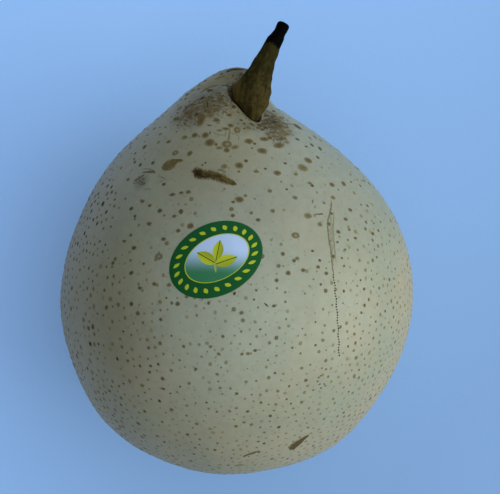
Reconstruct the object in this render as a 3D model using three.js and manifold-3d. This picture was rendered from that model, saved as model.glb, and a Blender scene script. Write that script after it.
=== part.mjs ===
// A ya pear (Pyrus bretschneideri) with its stem and a small oval paper sticker, lying on its side.
//
// Sizes are in millimetres. Each piece is shaped in the pear's own frame: +Y runs up the core from the calyx
// to the stem, +Z points to the side that carries the sticker, and the origin is the middle of the widest
// section. The exported group lays the pear on its back with the stem end a little raised, and puts the
// middle of the small flat spot that it rests on at the origin, with +Z up.

import * as THREE from "three";
import { mergeVertices } from "three/addons/utils/BufferGeometryUtils.js";
import Module from "manifold-3d";

const wasm = await Module();
wasm.setup();

// ---- driving dimensions ----

const WIDTH = 78; // widest diameter of the fruit
const CROWN = 46.2; // top of the crown above the widest section, without its lobe
const BASE = 37.7; // the rim round the calyx, below the widest section
const CALYX_RADIUS = 10.5; // the rim's own radius
const CALYX_DEPTH = 5;
const EYE_RADIUS = 1.8; // the scar of the fallen calyx, at the bottom of the pit
const EYE_DEPTH = 1.6;
const NECK = 41.3; // where the flank turns into the crown
const NECK_RADIUS = 11.1;
const LOBE_RISE = 4.5; // the fleshy lobe behind the stem, above the crown

const STEM_RADIUS = 3.1; // at its thickest, over the seat
const STEM_TIP_RADIUS = 1.3;
const STEM_COLLAR = 1.8; // how far the fleshy collar at its foot stands out, on the left and behind
const STEM_CLEARANCE = 0.3; // all round the stem's root in its seat

const LABEL_LENGTH = 20;
const LABEL_WIDTH = 15;
const LABEL_ACROSS = -4; // its middle, left of the core and above the widest section
const LABEL_UP = 17;
const LABEL_TURN = 29; // degrees that its long axis climbs to the right
const LABEL_THICKNESS = 0.25;
const LABEL_GAP = 0.1; // between the skin and the sticker

const LYING_TILT = 15; // degrees that the stem end is raised by as the pear lies
const FLAT_DEPTH = 1; // how far the resting spot is pressed into the round side

const FRUIT_SEGMENTS = 80; // round the core
const FRUIT_STEPS = 54; // from the calyx to the crown
const STEM_SEGMENTS = 20;
const STEM_STEPS = 24;
const LABEL_SEGMENTS = 40;
const LABEL_RINGS = 5;

const R = WIDTH / 2;

// ---- small helpers ----

const { sin, cos, exp, hypot, PI } = Math;
const { smoothstep } = THREE.MathUtils;
const radians = THREE.MathUtils.degToRad;

// A bell curve: 1 at distance 0, 0.61 at one width.
const bell = (distance, width) => exp(-(distance ** 2) / (2 * width ** 2));

// 1 between two limits, fading to 0 over a distance outside each.
const plateau = (value, low, high, fade) =>
  smoothstep(value, low - fade, low) * (1 - smoothstep(value, high, high + fade));

// Moves every vertex of a geometry by a function that changes the point it is given.
function reshape(geometry, change) {
  const position = geometry.getAttribute("position");
  const point = new THREE.Vector3();
  for (let i = 0; i < position.count; i++) {
    point.fromBufferAttribute(position, i);
    change(point);
    position.setXYZ(i, point.x, point.y, point.z);
  }
  return geometry;
}

// ---- solids and meshes ----

function toSolid(geometry) {
  const bare = geometry.clone();
  bare.deleteAttribute("normal");
  bare.deleteAttribute("uv");
  const merged = mergeVertices(bare, 1e-4);
  return new wasm.Manifold(
    new wasm.Mesh({
      numProp: 3,
      vertProperties: merged.getAttribute("position").array,
      triVerts: new Uint32Array(merged.index.array),
    }),
  );
}

function toGeometry(solid) {
  const { vertProperties, triVerts } = solid.getMesh();
  const geometry = new THREE.BufferGeometry();
  geometry.setAttribute("position", new THREE.BufferAttribute(vertProperties, 3));
  geometry.setIndex(new THREE.BufferAttribute(triVerts, 1));
  geometry.computeVertexNormals();
  return geometry;
}

// ---- fruit ----

// The outline from the scar in the calyx pit, over the rim, the belly and the flank, to the crown.
function fruitProfile() {
  const pit = CALYX_DEPTH - BASE;
  const outline = new THREE.Path();
  outline.moveTo(0, pit + EYE_DEPTH);
  outline.quadraticCurveTo(EYE_RADIUS, pit + EYE_DEPTH, EYE_RADIUS, pit);
  outline.bezierCurveTo(4, pit, 5, -BASE, CALYX_RADIUS, -BASE);
  outline.bezierCurveTo(26.3, -BASE, R, -17.8, R, 0);
  outline.bezierCurveTo(R, 21.4, 19.9, 35.8, NECK_RADIUS, NECK);
  outline.bezierCurveTo(8.4, 43.3, 4.5, CROWN, 0, CROWN);
  const points = [];
  for (let i = 0; i <= FRUIT_STEPS; i++) {
    // the steps are shorter towards the calyx and the crown, where the outline turns faster
    const along = i / FRUIT_STEPS;
    points.push(outline.getPointAt(along - (0.6 * sin(2 * PI * along)) / (2 * PI)));
  }
  points[0].x = 0;
  points[FRUIT_STEPS].x = 0;
  return points;
}

// How far the lobe has risen at a place across the crown: a long slope on the left, and on the right an end by
// the stem, which is gentler lower down.
function lobeLength(across, behind) {
  const end = 9 + 0.35 * Math.max(0, -behind);
  return smoothstep(across, -20, 4) * (1 - smoothstep(across, 3, end));
}

// How the fruit departs from a turned shape.
function grow(point) {
  const height = point.y;
  const around = Math.atan2(point.x, point.z);
  const side = sin(around);

  // low ribs run in to the calyx, and the belly is not quite round
  const ribs = 0.02 * cos(5 * around + 0.6) * smoothstep(-height, 14, BASE);
  const oval = 0.006 * cos(2 * around + 2.6) + 0.003 * cos(3 * around + 1);
  const flatter = 0.02 * bell(height - 13, 9) * Math.max(0, -side);
  const swell = 1 + ribs + oval * bell(height, 28) - flatter;
  point.x *= swell;
  point.z *= swell;

  // the core bows to the left, and the neck leans that way
  point.x -= 0.7 * (height / R) ** 2 + 0.4 * bell(height + 25, 8);
  point.x -= 1.6 * smoothstep(height, 18, 42);
  point.x += 1.4 * smoothstep(height, 42, CROWN);

  // the lobe behind the stem, the crease in front of it, and the hollow that the stem stands in
  const behindLobe = point.z + 4;
  const lobe = LOBE_RISE * lobeLength(point.x, behindLobe) * bell(behindLobe, behindLobe < 0 ? 5.2 : 4);
  const crease = 0.7 * plateau(point.x, -6, 0, 3) * bell(point.z - 1, 1);
  const hollow = 1.7 * bell(point.x - 4, 2.8) * bell(point.z - 6, 3.4);
  point.y += (lobe - crease - hollow) * smoothstep(height, 32, 40);
}

const fruitGeometry = () => reshape(new THREE.LatheGeometry(fruitProfile(), FRUIT_SEGMENTS), grow);

// ---- stem ----

const FRONT = new THREE.Vector3(0, 0, 1);

// The middle line of the stem, from its root in the flesh to the cut tip.
const stemLine = new THREE.CatmullRomCurve3([
  new THREE.Vector3(3.7, 37.9, 6.4),
  new THREE.Vector3(3.8, 40.2, 6.5),
  new THREE.Vector3(4.05, 43.4, 5.4),
  new THREE.Vector3(4.35, 46.3, 4.7),
  new THREE.Vector3(5.8, 51.2, 3.2),
  new THREE.Vector3(8.1, 55.6, 1.6),
  new THREE.Vector3(10.5, 59.9, 0),
]);

// Its radius at a distance from the tip: nearly even to the knob, then swelling to the seat, and drawn in at
// the root. The knob stands out on the left, a lump over the seat on the right, and the collar on the left
// and behind.
function stemRadius(fromTip, around) {
  const swelling = STEM_RADIUS - STEM_TIP_RADIUS;
  const taper = STEM_TIP_RADIUS + swelling * smoothstep(fromTip, 0.5, 17) - 2 * smoothstep(fromTip, 18, 23);
  const knob = 0.4 * bell(fromTip - 5, 0.9) * Math.max(0, -sin(around));
  const lump = 0.35 * bell(fromTip - 16, 1.2) * Math.max(0, sin(around));
  const collar = STEM_COLLAR * bell(fromTip - 16.6, 2.2) * exp((cos(around + 1.95) - 1) / 0.2);
  return taper + knob + lump + collar + 0.06 * sin(fromTip * 2.1) + 0.1 * cos(3 * around + fromTip * 0.2);
}

// A turned blank, one unit high, is wrapped round the middle line.
function stemGeometry(clearance) {
  const length = stemLine.getLength();
  const blank = [new THREE.Vector2(0, 0), new THREE.Vector2(0.5, 0)];
  for (let i = 0; i <= STEM_STEPS; i++) blank.push(new THREE.Vector2(1, i / STEM_STEPS));
  blank.push(new THREE.Vector2(0.5, 1), new THREE.Vector2(0, 1));
  return reshape(new THREE.LatheGeometry(blank, STEM_SEGMENTS), (point) => {
    const along = point.y;
    const around = Math.atan2(point.x, point.z);
    const forward = stemLine.getTangentAt(along);
    const right = forward.clone().cross(FRONT).normalize();
    const front = right.clone().cross(forward);
    const radius = hypot(point.x, point.z) * (stemRadius((1 - along) * length, around) + clearance);
    const reach = (along === 0 ? -clearance : 0) + (along === 1 ? clearance : 0);
    point.copy(stemLine.getPointAt(along));
    point.addScaledVector(forward, reach);
    point.addScaledVector(right, radius * sin(around));
    point.addScaledVector(front, radius * cos(around));
  });
}

// ---- label ----

// A flat oval disc is pressed on the skin, straight down on the label's middle.
function labelGeometry(skin) {
  const target = new THREE.Mesh(skin, new THREE.MeshBasicMaterial());
  const hitSkin = (from, direction) => new THREE.Raycaster(from, direction).intersectObject(target)[0];
  const middle = hitSkin(new THREE.Vector3(LABEL_ACROSS, LABEL_UP, R), FRONT.clone().negate());
  const out = middle.normal.clone();
  const inwards = out.clone().negate();
  const along = new THREE.Vector3(cos(radians(LABEL_TURN)), sin(radians(LABEL_TURN)), 0);
  along.addScaledVector(out, -along.dot(out)).normalize();
  const across = out.clone().cross(along);
  const blank = [];
  for (let i = 0; i <= LABEL_RINGS; i++) blank.push(new THREE.Vector2(i / LABEL_RINGS, 0));
  for (let i = LABEL_RINGS; i >= 0; i--) blank.push(new THREE.Vector2(i / LABEL_RINGS, 1));
  const disc = new THREE.LatheGeometry(blank, LABEL_SEGMENTS);
  return reshape(disc, (point) => {
    const start = middle.point.clone().addScaledVector(out, 10);
    start.addScaledVector(along, (point.z * LABEL_LENGTH) / 2);
    start.addScaledVector(across, (point.x * LABEL_WIDTH) / 2);
    const above = LABEL_GAP + point.y * LABEL_THICKNESS;
    point.copy(hitSkin(start, inwards).point).addScaledVector(out, above);
  });
}

// ---- resting spot ----

// the way that is up once the pear lies
const up = new THREE.Vector3(0, sin(radians(LYING_TILT)), cos(radians(LYING_TILT)));

function verticesOf(solid) {
  const position = toGeometry(solid).getAttribute("position");
  const vertex = (_, i) => new THREE.Vector3().fromBufferAttribute(position, i);
  return Array.from({ length: position.count }, vertex);
}

// Cuts a small flat into the lowest side, and gives the middle of the flat.
function flatten(solid) {
  const level = Math.min(...verticesOf(solid).map((vertex) => vertex.dot(up))) + FLAT_DEPTH;
  const floor = new THREE.BoxGeometry(2 * WIDTH, 2 * WIDTH, WIDTH);
  floor.translate(0, 0, -WIDTH / 2);
  floor.lookAt(up);
  floor.translate(up.x * level, up.y * level, up.z * level);
  const flat = solid.subtract(toSolid(floor));
  const spot = new THREE.Box3().setFromPoints(
    verticesOf(flat).filter((vertex) => vertex.dot(up) < level + 1e-3),
  );
  return { flat, middle: spot.getCenter(new THREE.Vector3()) };
}

// ---- assembly ----

const material = (color, roughness) => new THREE.MeshStandardMaterial({ color, roughness, metalness: 0 });

function piece(name, solid, finish) {
  const mesh = new THREE.Mesh(toGeometry(solid), finish);
  mesh.name = name;
  return mesh;
}

const stemSolid = toSolid(stemGeometry(0));
const labelSolid = toSolid(labelGeometry(fruitGeometry()));
const seated = toSolid(fruitGeometry()).subtract(toSolid(stemGeometry(STEM_CLEARANCE)));
const { flat: fruitSolid, middle } = flatten(seated);

const pear = new THREE.Group();
pear.add(
  piece("fruit", fruitSolid, material(0xa3a890, 0.5)),
  piece("stem", stemSolid, material(0x4a3f1e, 0.8)),
  piece("label", labelSolid, material(0x1c5a30, 0.4)),
);
pear.rotation.x = radians(LYING_TILT);
pear.position.copy(middle).applyEuler(pear.rotation).negate();

const root = new THREE.Group();
root.add(pear);
export default root;
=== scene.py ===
"""A pear on its side: the skin with its pores and scars, the woody stem and a small oval sticker.

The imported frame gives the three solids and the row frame, which has +Z up and the pear resting at the
origin. The fruit and the stem repeat the formulas of their solids with many more faces. Those are written
in the pear's own frame, in millimetres: +Y runs up the core from the calyx to the stem, +Z points to the
side with the sticker, and the origin is the middle of the widest section.
"""

from math import cos, pi, radians, sin

import bpy
import numpy as np
from bpy.props import FloatProperty, FloatVectorProperty, IntProperty, PointerProperty
from bpy.types import Operator, Panel, PropertyGroup
from mathutils import Matrix, Vector, noise
from mathutils.bvhtree import BVHTree


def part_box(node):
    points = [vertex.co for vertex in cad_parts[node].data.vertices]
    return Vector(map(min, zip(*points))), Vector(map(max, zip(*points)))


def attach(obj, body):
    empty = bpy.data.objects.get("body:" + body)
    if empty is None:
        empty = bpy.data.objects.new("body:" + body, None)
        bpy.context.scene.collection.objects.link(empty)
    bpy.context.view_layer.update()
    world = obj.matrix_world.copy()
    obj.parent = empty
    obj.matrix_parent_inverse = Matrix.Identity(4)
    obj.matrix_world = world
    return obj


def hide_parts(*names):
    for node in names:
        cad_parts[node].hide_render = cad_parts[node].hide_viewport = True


bl_info = {
    "name": "Pear",
    "version": (1, 0, 0),
    "blender": (4, 5, 0),
    "location": "3D View > Sidebar > Pear",
    "description": "Dresses a packed pear with its skin, pores, scars, stem and sticker",
    "category": "Add Mesh",
}

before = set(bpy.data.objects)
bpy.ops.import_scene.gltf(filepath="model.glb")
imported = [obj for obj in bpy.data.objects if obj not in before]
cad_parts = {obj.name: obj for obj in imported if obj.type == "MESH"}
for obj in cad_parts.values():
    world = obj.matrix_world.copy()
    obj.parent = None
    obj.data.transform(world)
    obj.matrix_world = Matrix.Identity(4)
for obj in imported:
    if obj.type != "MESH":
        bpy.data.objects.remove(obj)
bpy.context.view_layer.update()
MM = 0.001

# ---- the form of the fruit and the stem, as in the solids, in millimetres ----

R = 39.0  # half the widest diameter
CROWN = 46.2
BASE = 37.7
CALYX_RADIUS, CALYX_DEPTH = 10.5, 5.0
EYE_RADIUS, EYE_DEPTH = 1.8, 1.6  # the scar in the calyx pit
NECK, NECK_RADIUS = 41.3, 11.1
LOBE_RISE = 4.5
STEM_RADIUS, STEM_TIP_RADIUS = 3.1, 1.3
STEM_COLLAR = 1.8
COLLAR_BARK = 0.5  # how much further out the bark of the collar stands than its solid
STEM_LINE = (
    (3.7, 37.9, 6.4),
    (3.8, 40.2, 6.5),
    (4.05, 43.4, 5.4),
    (4.35, 46.3, 4.7),
    (5.8, 51.2, 3.2),
    (8.1, 55.6, 1.6),
    (10.5, 59.9, 0),
)
STEM_SKIN = 1  # the corner of its line where it meets the skin
STEM_NEAR = 5.0  # how far the skin is stained round it
GROOVE_DEPTH, GROOVE_WIDTH = 1.3, 1.1  # of the skin against the stem
LABEL_ACROSS, LABEL_UP = -4.0, 17.0
LABEL_TURN = radians(29)
LABEL_GAP = 0.03
LYING_TILT = radians(15)

FRUIT_SEGMENTS, FRUIT_STEPS = 360, 264
STEM_SEGMENTS, STEM_STEPS = 72, 190
LABEL_SEGMENTS = 96
SCAR_COLUMNS = 13

# ---- the view: straight down on the lying pear, in millimetres from the middle of the core ----

CAMERA = (3.11, 9.91, 450.0)
PIXEL = 0.2222  # millimetres to a pixel, level with the core
IMAGE_WIDTH, IMAGE_HEIGHT = 500, 494
SENSOR = 36.0


def smoothstep(value, low, high):
    share = np.clip((np.asarray(value, float) - low) / (high - low), 0, 1)
    return share * share * (3 - 2 * share)


def bell(distance, width):
    """1 at distance 0 and 0.61 at one width."""
    return np.exp(-np.square(distance) / (2 * np.square(width)))


def plateau(value, low, high, fade):
    """1 between two limits, fading to 0 over a distance outside each."""
    return smoothstep(value, low - fade, low) * (1 - smoothstep(value, high, high + fade))


def linear(code, alpha=1.0):
    """An sRGB hex colour as linear values."""
    shares = (int(code[i : i + 2], 16) / 255 for i in (1, 3, 5))
    return (*(s / 12.92 if s <= 0.04045 else ((s + 0.055) / 1.055) ** 2.4 for s in shares), alpha)


def colour(name, description, code):
    return FloatVectorProperty(
        name=name, description=description, subtype="COLOR", size=4, min=0, max=1, default=linear(code)
    )


def length(name, description, millimetres):
    return FloatProperty(
        name=name, description=description, default=millimetres * MM, min=0, unit="LENGTH", precision=5
    )


# ---- settings ----


class FruitSettings(PropertyGroup):
    waves: length("Waves", "How deep the skin's slow natural waves are", 0.16)
    crinkle: length("Crinkle", "How deep the russet skin round the stem is crinkled", 0.05)
    green: colour("Green", "The cooler part of the skin", "#858b79")
    cream: colour("Cream", "The riper, warmer part of the skin", "#8f8e79")
    rosy: colour("Rosy", "Pale brownish patches", "#8d8873")
    # painted bounce and shade: a cooler, darker tint for the blue board's bounce on the upper half
    cool_bounce_and_shade: colour("Cool bounce", "The skin towards the stem", "#7c877c")
    # painted highlight: the paler, cooler field on the belly
    pale: colour("Pale", "The cooler field on the belly", "#909b8d")
    olive: colour("Olive", "The skin towards the calyx", "#7b7c64")
    # brown stains, and also painted shade in a band down the left of the belly
    stain_and_shade: colour("Stain and shade", "Skin between the lobe and the stem", "#4c4626")
    # painted shade: a near-black line where the skin meets the stem, for the shadow in the crease between
    # them
    crease_shade: colour("Crease shade", "The line where the skin meets the stem", "#1c150b")
    russet: colour("Russet", "Corky skin round the stem and in the calyx pit", "#4a3a20")


class PoreSettings(PropertyGroup):
    spacing: length("Spacing", "The least distance between two pores", 1.55)
    smallest: length("Smallest", "Diameter of the smallest pores", 0.6)
    largest: length("Largest", "Diameter of the largest pores", 1.3)
    seed: IntProperty(name="Seed", description="Which random layout of pores", default=7)
    dark: colour("Dark cork", "The darkest dried cork", "#1b1109")
    brown: colour("Brown cork", "Older cork in the pores and scars", "#5b5131")
    tan: colour("Tan cork", "Thin young cork in large pores", "#7e7f5b")


class StemSettings(PropertyGroup):
    groove: length("Groove", "How deep the grooves along the stem are", 0.11)
    burnt: length("Dead tip", "How far down from the cut the stem has turned black", 5.2)
    bark: colour("Bark", "Dry olive brown bark", "#24230f")
    mustard: colour("Mustard", "Lighter bark on the ridges and near the fruit", "#4f4626")
    black: colour("Black", "The dead wood of the tip and the grooves", "#020202")


class LabelSettings(PropertyGroup):
    long: length("Length", "Along the oval", 20)
    wide: length("Width", "Across the oval", 15)
    thickness: length("Thickness", "Of the coated paper", 0.1)
    band: colour("Band", "Dark green print round the edge", "#084f25")
    ink: colour("Ink", "Yellow green print", "#a5b52a")
    sky: colour("Sky", "The top of the middle field", "#a9c6ee")
    field: colour("Field", "The foot of the middle field", "#2f7350")


class StageSettings(PropertyGroup):
    floor: colour("Floor", "Pale blue board", "#8bb8f3")
    window: FloatProperty(
        name="Window", description="Power of the low soft light", default=2.2, min=0, unit="POWER"
    )
    pane: colour("Pane", "Colour of the low soft light", "#fcffee")
    sky: FloatProperty(name="Sky", description="Strength of the light from above", default=0.79, min=0)
    lean: FloatProperty(
        name="Lean", description="How much brighter the sky is to the right", default=1.0, min=0, max=1
    )
    bounce: colour("Bounce", "Light from below, tinted by the board", "#d0cdb8")


# ---- the form ----


def bezier(*corners, steps=240):
    """Points along the Bezier curve with these corner points."""
    points = np.array(corners, float)[:, None, :]
    share = np.linspace(0, 1, steps)[:, None]
    while len(points) > 1:
        points = points[:-1] * (1 - share) + points[1:] * share
    return points[0]


def smooth_line(corners, steps=40):
    """Points along a centripetal Catmull-Rom curve through every corner."""
    corners = np.array(corners, float)
    before, after = 2 * corners[0] - corners[1], 2 * corners[-1] - corners[-2]
    posts = np.concatenate([[before], corners, [after]])
    t = np.linspace(0, 1, steps, endpoint=False)[:, None]
    spans = []
    for a, b, c, d in zip(posts, posts[1:], posts[2:], posts[3:]):
        ab, bc, cd = (np.sqrt(np.linalg.norm(q - p)) for p, q in ((a, b), (b, c), (c, d)))
        out = ((b - a) / ab - (c - a) / (ab + bc) + (c - b) / bc) * bc
        back = ((c - b) / bc - (d - b) / (bc + cd) + (d - c) / cd) * bc
        square, cube = 3 * (c - b) - 2 * out - back, 2 * (b - c) + out + back
        spans.append(b + out * t + square * t**2 + cube * t**3)
    return np.concatenate([*spans, corners[-1:]])


def along_line(line, shares):
    """The points of a line at shares of its length."""
    steps = np.linalg.norm(np.diff(line, axis=0), axis=1)
    distances = np.concatenate([[0], np.cumsum(steps)])
    return np.stack([np.interp(shares * distances[-1], distances, axis) for axis in line.T], axis=1)


def line_length(line):
    """How long a line is along its points."""
    return np.linalg.norm(np.diff(line, axis=0), axis=1).sum()


def directions(line):
    """The direction of a line at each of its points."""
    steps = np.gradient(line, axis=0)
    return steps / np.linalg.norm(steps, axis=1)[:, None]


def fruit_outline(steps):
    """The outline from the scar in the calyx pit, over the rim, the belly and the flank, to the crown."""
    pit = CALYX_DEPTH - BASE
    curves = [
        bezier((0, pit + EYE_DEPTH), (EYE_RADIUS, pit + EYE_DEPTH), (EYE_RADIUS, pit)),
        bezier((EYE_RADIUS, pit), (4, pit), (5, -BASE), (CALYX_RADIUS, -BASE)),
        bezier((CALYX_RADIUS, -BASE), (26.3, -BASE), (R, -17.8), (R, 0)),
        bezier((R, 0), (R, 21.4), (19.9, 35.8), (NECK_RADIUS, NECK)),
        bezier((NECK_RADIUS, NECK), (8.4, 43.3), (4.5, CROWN), (0, CROWN)),
    ]
    share = np.linspace(0, 1, steps + 1)
    # the steps are shorter towards the calyx and the crown, where the outline turns faster
    share -= 0.6 * np.sin(2 * pi * share) / (2 * pi)
    return along_line(np.concatenate(curves), share)


def lobe_length(across, behind):
    """The lobe's rise across the crown: a long slope on the left, and a gentler end by the stem."""
    end = 9 + 0.35 * np.maximum(0, -behind)
    return smoothstep(across, -20, 4) * (1 - smoothstep(across, 3, end))


def grow(points):
    """How the fruit departs from a turned shape."""
    x, height, z = np.moveaxis(points, -1, 0)
    around = np.arctan2(x, z)

    # low ribs run in to the calyx, and the belly is not quite round
    ribs = 0.02 * np.cos(5 * around + 0.6) * smoothstep(-height, 14, BASE)
    oval = 0.006 * np.cos(2 * around + 2.6) + 0.003 * np.cos(3 * around + 1)
    flatter = 0.02 * bell(height - 13, 9) * np.maximum(0, -np.sin(around))
    swell = 1 + ribs + oval * bell(height, 28) - flatter
    x, z = x * swell, z * swell

    # the core bows to the left, and the neck leans that way
    x = x - 0.7 * (height / R) ** 2 - 0.4 * bell(height + 25, 8)
    x = x - 1.6 * smoothstep(height, 18, 42) + 1.4 * smoothstep(height, 42, CROWN)

    # the lobe behind the stem, the crease in front of it, and the hollow that the stem stands in
    behind_lobe = z + 4
    lobe = LOBE_RISE * lobe_length(x, behind_lobe) * bell(behind_lobe, np.where(behind_lobe < 0, 5.2, 4))
    crease = 0.7 * plateau(x, -6, 0, 3) * bell(z - 1, 1)
    hollow = 1.7 * bell(x - 4, 2.8) * bell(z - 6, 3.4)
    y = height + (lobe - crease - hollow) * smoothstep(height, 32, 40)
    return np.stack([x, y, z], axis=-1)


def fruit_rows(segments, steps):
    """Rings of points from the calyx to the crown."""
    outline = fruit_outline(steps)
    around = np.arange(segments) * 2 * pi / segments
    radius, height = outline[:, :1], outline[:, 1:]
    rings = np.stack([radius * np.sin(around), height + 0 * around, radius * np.cos(around)], axis=-1)
    return grow(rings)


def stem_radius(from_tip, around):
    swelling = STEM_RADIUS - STEM_TIP_RADIUS
    taper = STEM_TIP_RADIUS + swelling * smoothstep(from_tip, 0.5, 17) - 2 * smoothstep(from_tip, 18, 23)
    knob = 0.4 * bell(from_tip - 5, 0.9) * np.maximum(0, -np.sin(around))
    lump = 0.35 * bell(from_tip - 16, 1.2) * np.maximum(0, np.sin(around))
    one_side = np.exp((np.cos(around + 1.95) - 1) / 0.2)
    collar = (STEM_COLLAR + COLLAR_BARK) * bell(from_tip - 16.6, 2.2) * one_side
    even = 0.06 * np.sin(from_tip * 2.1) + 0.1 * np.cos(3 * around + from_tip * 0.2)
    return taper + knob + lump + collar + even


def stem_frames():
    """Places along the stem from its foot, the three directions at each, and the distance from the tip."""
    line = smooth_line(STEM_LINE)
    share = np.linspace(0, 1, STEM_STEPS)
    posts = along_line(line, share)
    forward = directions(posts)
    right = np.cross(forward, (0, 0, 1))
    right /= np.linalg.norm(right, axis=1)[:, None]
    return posts, forward, right, np.cross(right, forward), (1 - share) * line_length(line)


def beside_stem(points):
    """1 for points against the stem's bark, falling to 0 away from it. It stays low on the right."""
    posts, _, right, front, from_tip = stem_frames()
    shares = np.zeros(len(points))
    near = np.linalg.norm(points - STEM_LINE[STEM_SKIN], axis=1) < 2.5 * STEM_NEAR
    away = points[near, None] - posts
    nearest = np.linalg.norm(away, axis=2).argmin(axis=1)
    away = away[np.arange(len(nearest)), nearest]
    sideways, ahead = (np.einsum("ij,ij->i", away, axis[nearest]) for axis in (right, front))
    bark = stem_radius(from_tip[nearest], np.arctan2(sideways, ahead))
    gap = np.hypot(sideways, ahead) - bark
    open_side = 1 - 0.8 * smoothstep(points[near, 0], 4.8, 6.6)
    shares[near] = np.clip(1 - gap / STEM_NEAR, 0, 1) * open_side
    return shares


TURN = np.array(Matrix.Rotation(LYING_TILT, 3, "X"))


def pear_centre():
    """The middle of the core in the row frame, in millimetres, from the box of the fruit's solid."""
    low, high = (np.array(corner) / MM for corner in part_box("fruit"))
    laid = (fruit_rows(120, 120) @ TURN.T).reshape(-1, 3)
    centre = (low + high - laid.min(0) - laid.max(0)) / 2
    centre[2] = high[2] - laid[:, 2].max()
    return centre


CENTRE = pear_centre()


def to_row(points):
    """Points of the pear's own frame in the row frame, in metres."""
    return (points @ TURN.T + CENTRE) * MM


def noise_at(points, wavelength, seed=0.0):
    """Smooth noise from about -1 to 1 at each point, with features of this size."""
    spots = points.reshape(-1, 3) / wavelength + seed
    return np.array([noise.noise(Vector(spot)) for spot in spots]).reshape(points.shape[:-1])


# ---- meshes ----


def closed_mesh(name, rings, start, end):
    """A closed mesh over rings of points, from one end point to the other, in the row frame."""
    count, around = rings.shape[:2]
    points = np.concatenate([[start], rings.reshape(-1, 3), [end]])
    j = np.arange(around)
    after = (j + 1) % around
    faces = [(0, 1 + b, 1 + a) for a, b in zip(j, after)]
    for low in range(1, 1 + (count - 1) * around, around):
        faces += list(zip(low + j, low + after, low + around + after, low + around + j))
    last = 1 + (count - 1) * around
    faces += [(len(points) - 1, last + a, last + b) for a, b in zip(j, after)]
    mesh = bpy.data.meshes.new(name)
    mesh.from_pydata(points.tolist(), [], [tuple(map(int, face)) for face in faces])
    if signed_volume(mesh) < 0:
        mesh.flip_normals()
    mesh.polygons.foreach_set("use_smooth", [True] * len(mesh.polygons))
    return mesh


def signed_volume(mesh):
    mesh.calc_loop_triangles()
    corners = np.array([triangle.vertices for triangle in mesh.loop_triangles])
    a, b, c = (places(mesh)[corners[:, i]] for i in range(3))
    return np.einsum("ij,ij->i", a, np.cross(b, c)).sum() / 6


def places(mesh):
    """Where a mesh's vertices are."""
    values = np.empty(len(mesh.vertices) * 3)
    mesh.vertices.foreach_get("co", values)
    return values.reshape(-1, 3)


def store(mesh, name, values, kind="FLOAT"):
    """Stores a number or a vector on each vertex of a mesh."""
    field = {"FLOAT": "value", "FLOAT_VECTOR": "vector"}[kind]
    attribute = mesh.attributes.new(name, kind, "POINT")
    attribute.data.foreach_set(field, np.asarray(values, np.float32).ravel())


def sharpen(mesh, edges):
    """Marks a mesh's edges as sharp where the list says so."""
    mesh.attributes.new("sharp_edge", "BOOLEAN", "EDGE").data.foreach_set("value", edges)


def link(name, data):
    piece = bpy.data.objects.new(name, data)
    bpy.context.scene.collection.objects.link(piece)
    return piece


def finish_piece(name, mesh, material, node=None):
    """Puts a mesh in the scene as a piece that rides on the pear and may stand for a solid."""
    piece = link(name, mesh)
    if material:
        mesh.materials.append(material)
    if node:
        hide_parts(node)
    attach(piece, "root")


# ---- materials ----

# The width of each pattern's features, in millimetres. A pattern's scale is one over it. The paper's fibres
# and the board's tooth are drawn coarser than real ones, or they wouldn't show.
CLOUDS, PATCHES, SMUDGES, MOTTLE, PEEL, FAINT_PORES = 22.2, 7.7, 2.86, 1.82, 1.11, 1.333
SPECKS, PIT_BLOTS, SKIN_CORK, SPOT_CORK = 0.667, 2.38, 0.625, 0.385
BARK_FIBRES, BARK_BLOTS, BARK_PORES = 0.667, 1.11, 1.25
PAPER_FIBRES, BOARD_TOOTH = 0.833, 1.111

SMOOTH = {"interpolation_type": "SMOOTHSTEP"}  # for a Map Range node
COLOURS = {"data_type": "RGBA"}  # for a Mix node


def add(tree, kind, inputs=(), output=0, **settings):
    """Adds a node, sets it, fills or links its inputs, and gives one of its outputs, if it has any.

    A kind without Node in its name is a shader node.
    """
    node = tree.nodes.new(kind if "Node" in kind else "ShaderNode" + kind)
    for name, value in settings.items():
        setattr(node, name, value)
    for key, value in inputs.items() if isinstance(inputs, dict) else enumerate(inputs):
        if isinstance(value, bpy.types.NodeSocket):
            tree.links.new(value, node.inputs[key])
        elif value is not None:
            node.inputs[key].default_value = value
    return node.outputs[output] if node.outputs else None


def paint(tree, base, colour, value, low, high, most=1.0):
    """Lays a colour over a base: nothing at a value's low end, and the most at its high end."""
    share = add(tree, "MapRange", (value, low, high, 0.0, most), **SMOOTH)
    return add(tree, "Mix", {0: share, 6: base, 7: colour}, 2, **COLOURS)


def round_area(tree, spot, middle, radius, most=1.0, core=0.2):
    """The most within the core, which is a share of the radius, and fading to 0 at the radius."""
    apart = add(tree, "VectorMath", (spot, middle), output="Value", operation="DISTANCE")
    return add(tree, "MapRange", (apart, radius, core * radius, 0.0, most), **SMOOTH)


def off_axis(tree, spot):
    """How far a place is from the Y axis."""
    level = add(tree, "VectorMath", (spot, (1, 0, 1)), operation="MULTIPLY")
    return add(tree, "VectorMath", (level,), output="Value", operation="LENGTH")


def blank_material(name):
    material = bpy.data.materials.new(name)
    material.use_nodes = True
    material.node_tree.nodes.clear()
    return material, material.node_tree


def close_material(tree, base, roughness, height, sheen=0.5):
    """Ends a material in one surface shader, with a height in millimetres for its bump."""
    bump = add(tree, "Bump", {"Distance": MM, "Strength": 1.0, "Height": height})
    shader = {"Base Color": base, "Roughness": roughness, "Specular IOR Level": sheen, "Normal": bump}
    surface = add(tree, "BsdfPrincipled", shader)
    add(tree, "OutputMaterial", {"Surface": surface})


def pear_coordinates(tree):
    """Object coordinates turned into the pear's own frame, in millimetres."""
    back = Matrix(TURN.T.tolist())
    spot = add(tree, "TexCoord", output="Object")
    return add(tree, "Mapping", (spot, -(back @ Vector(CENTRE)), back.to_euler(), (1 / MM,) * 3))


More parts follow.
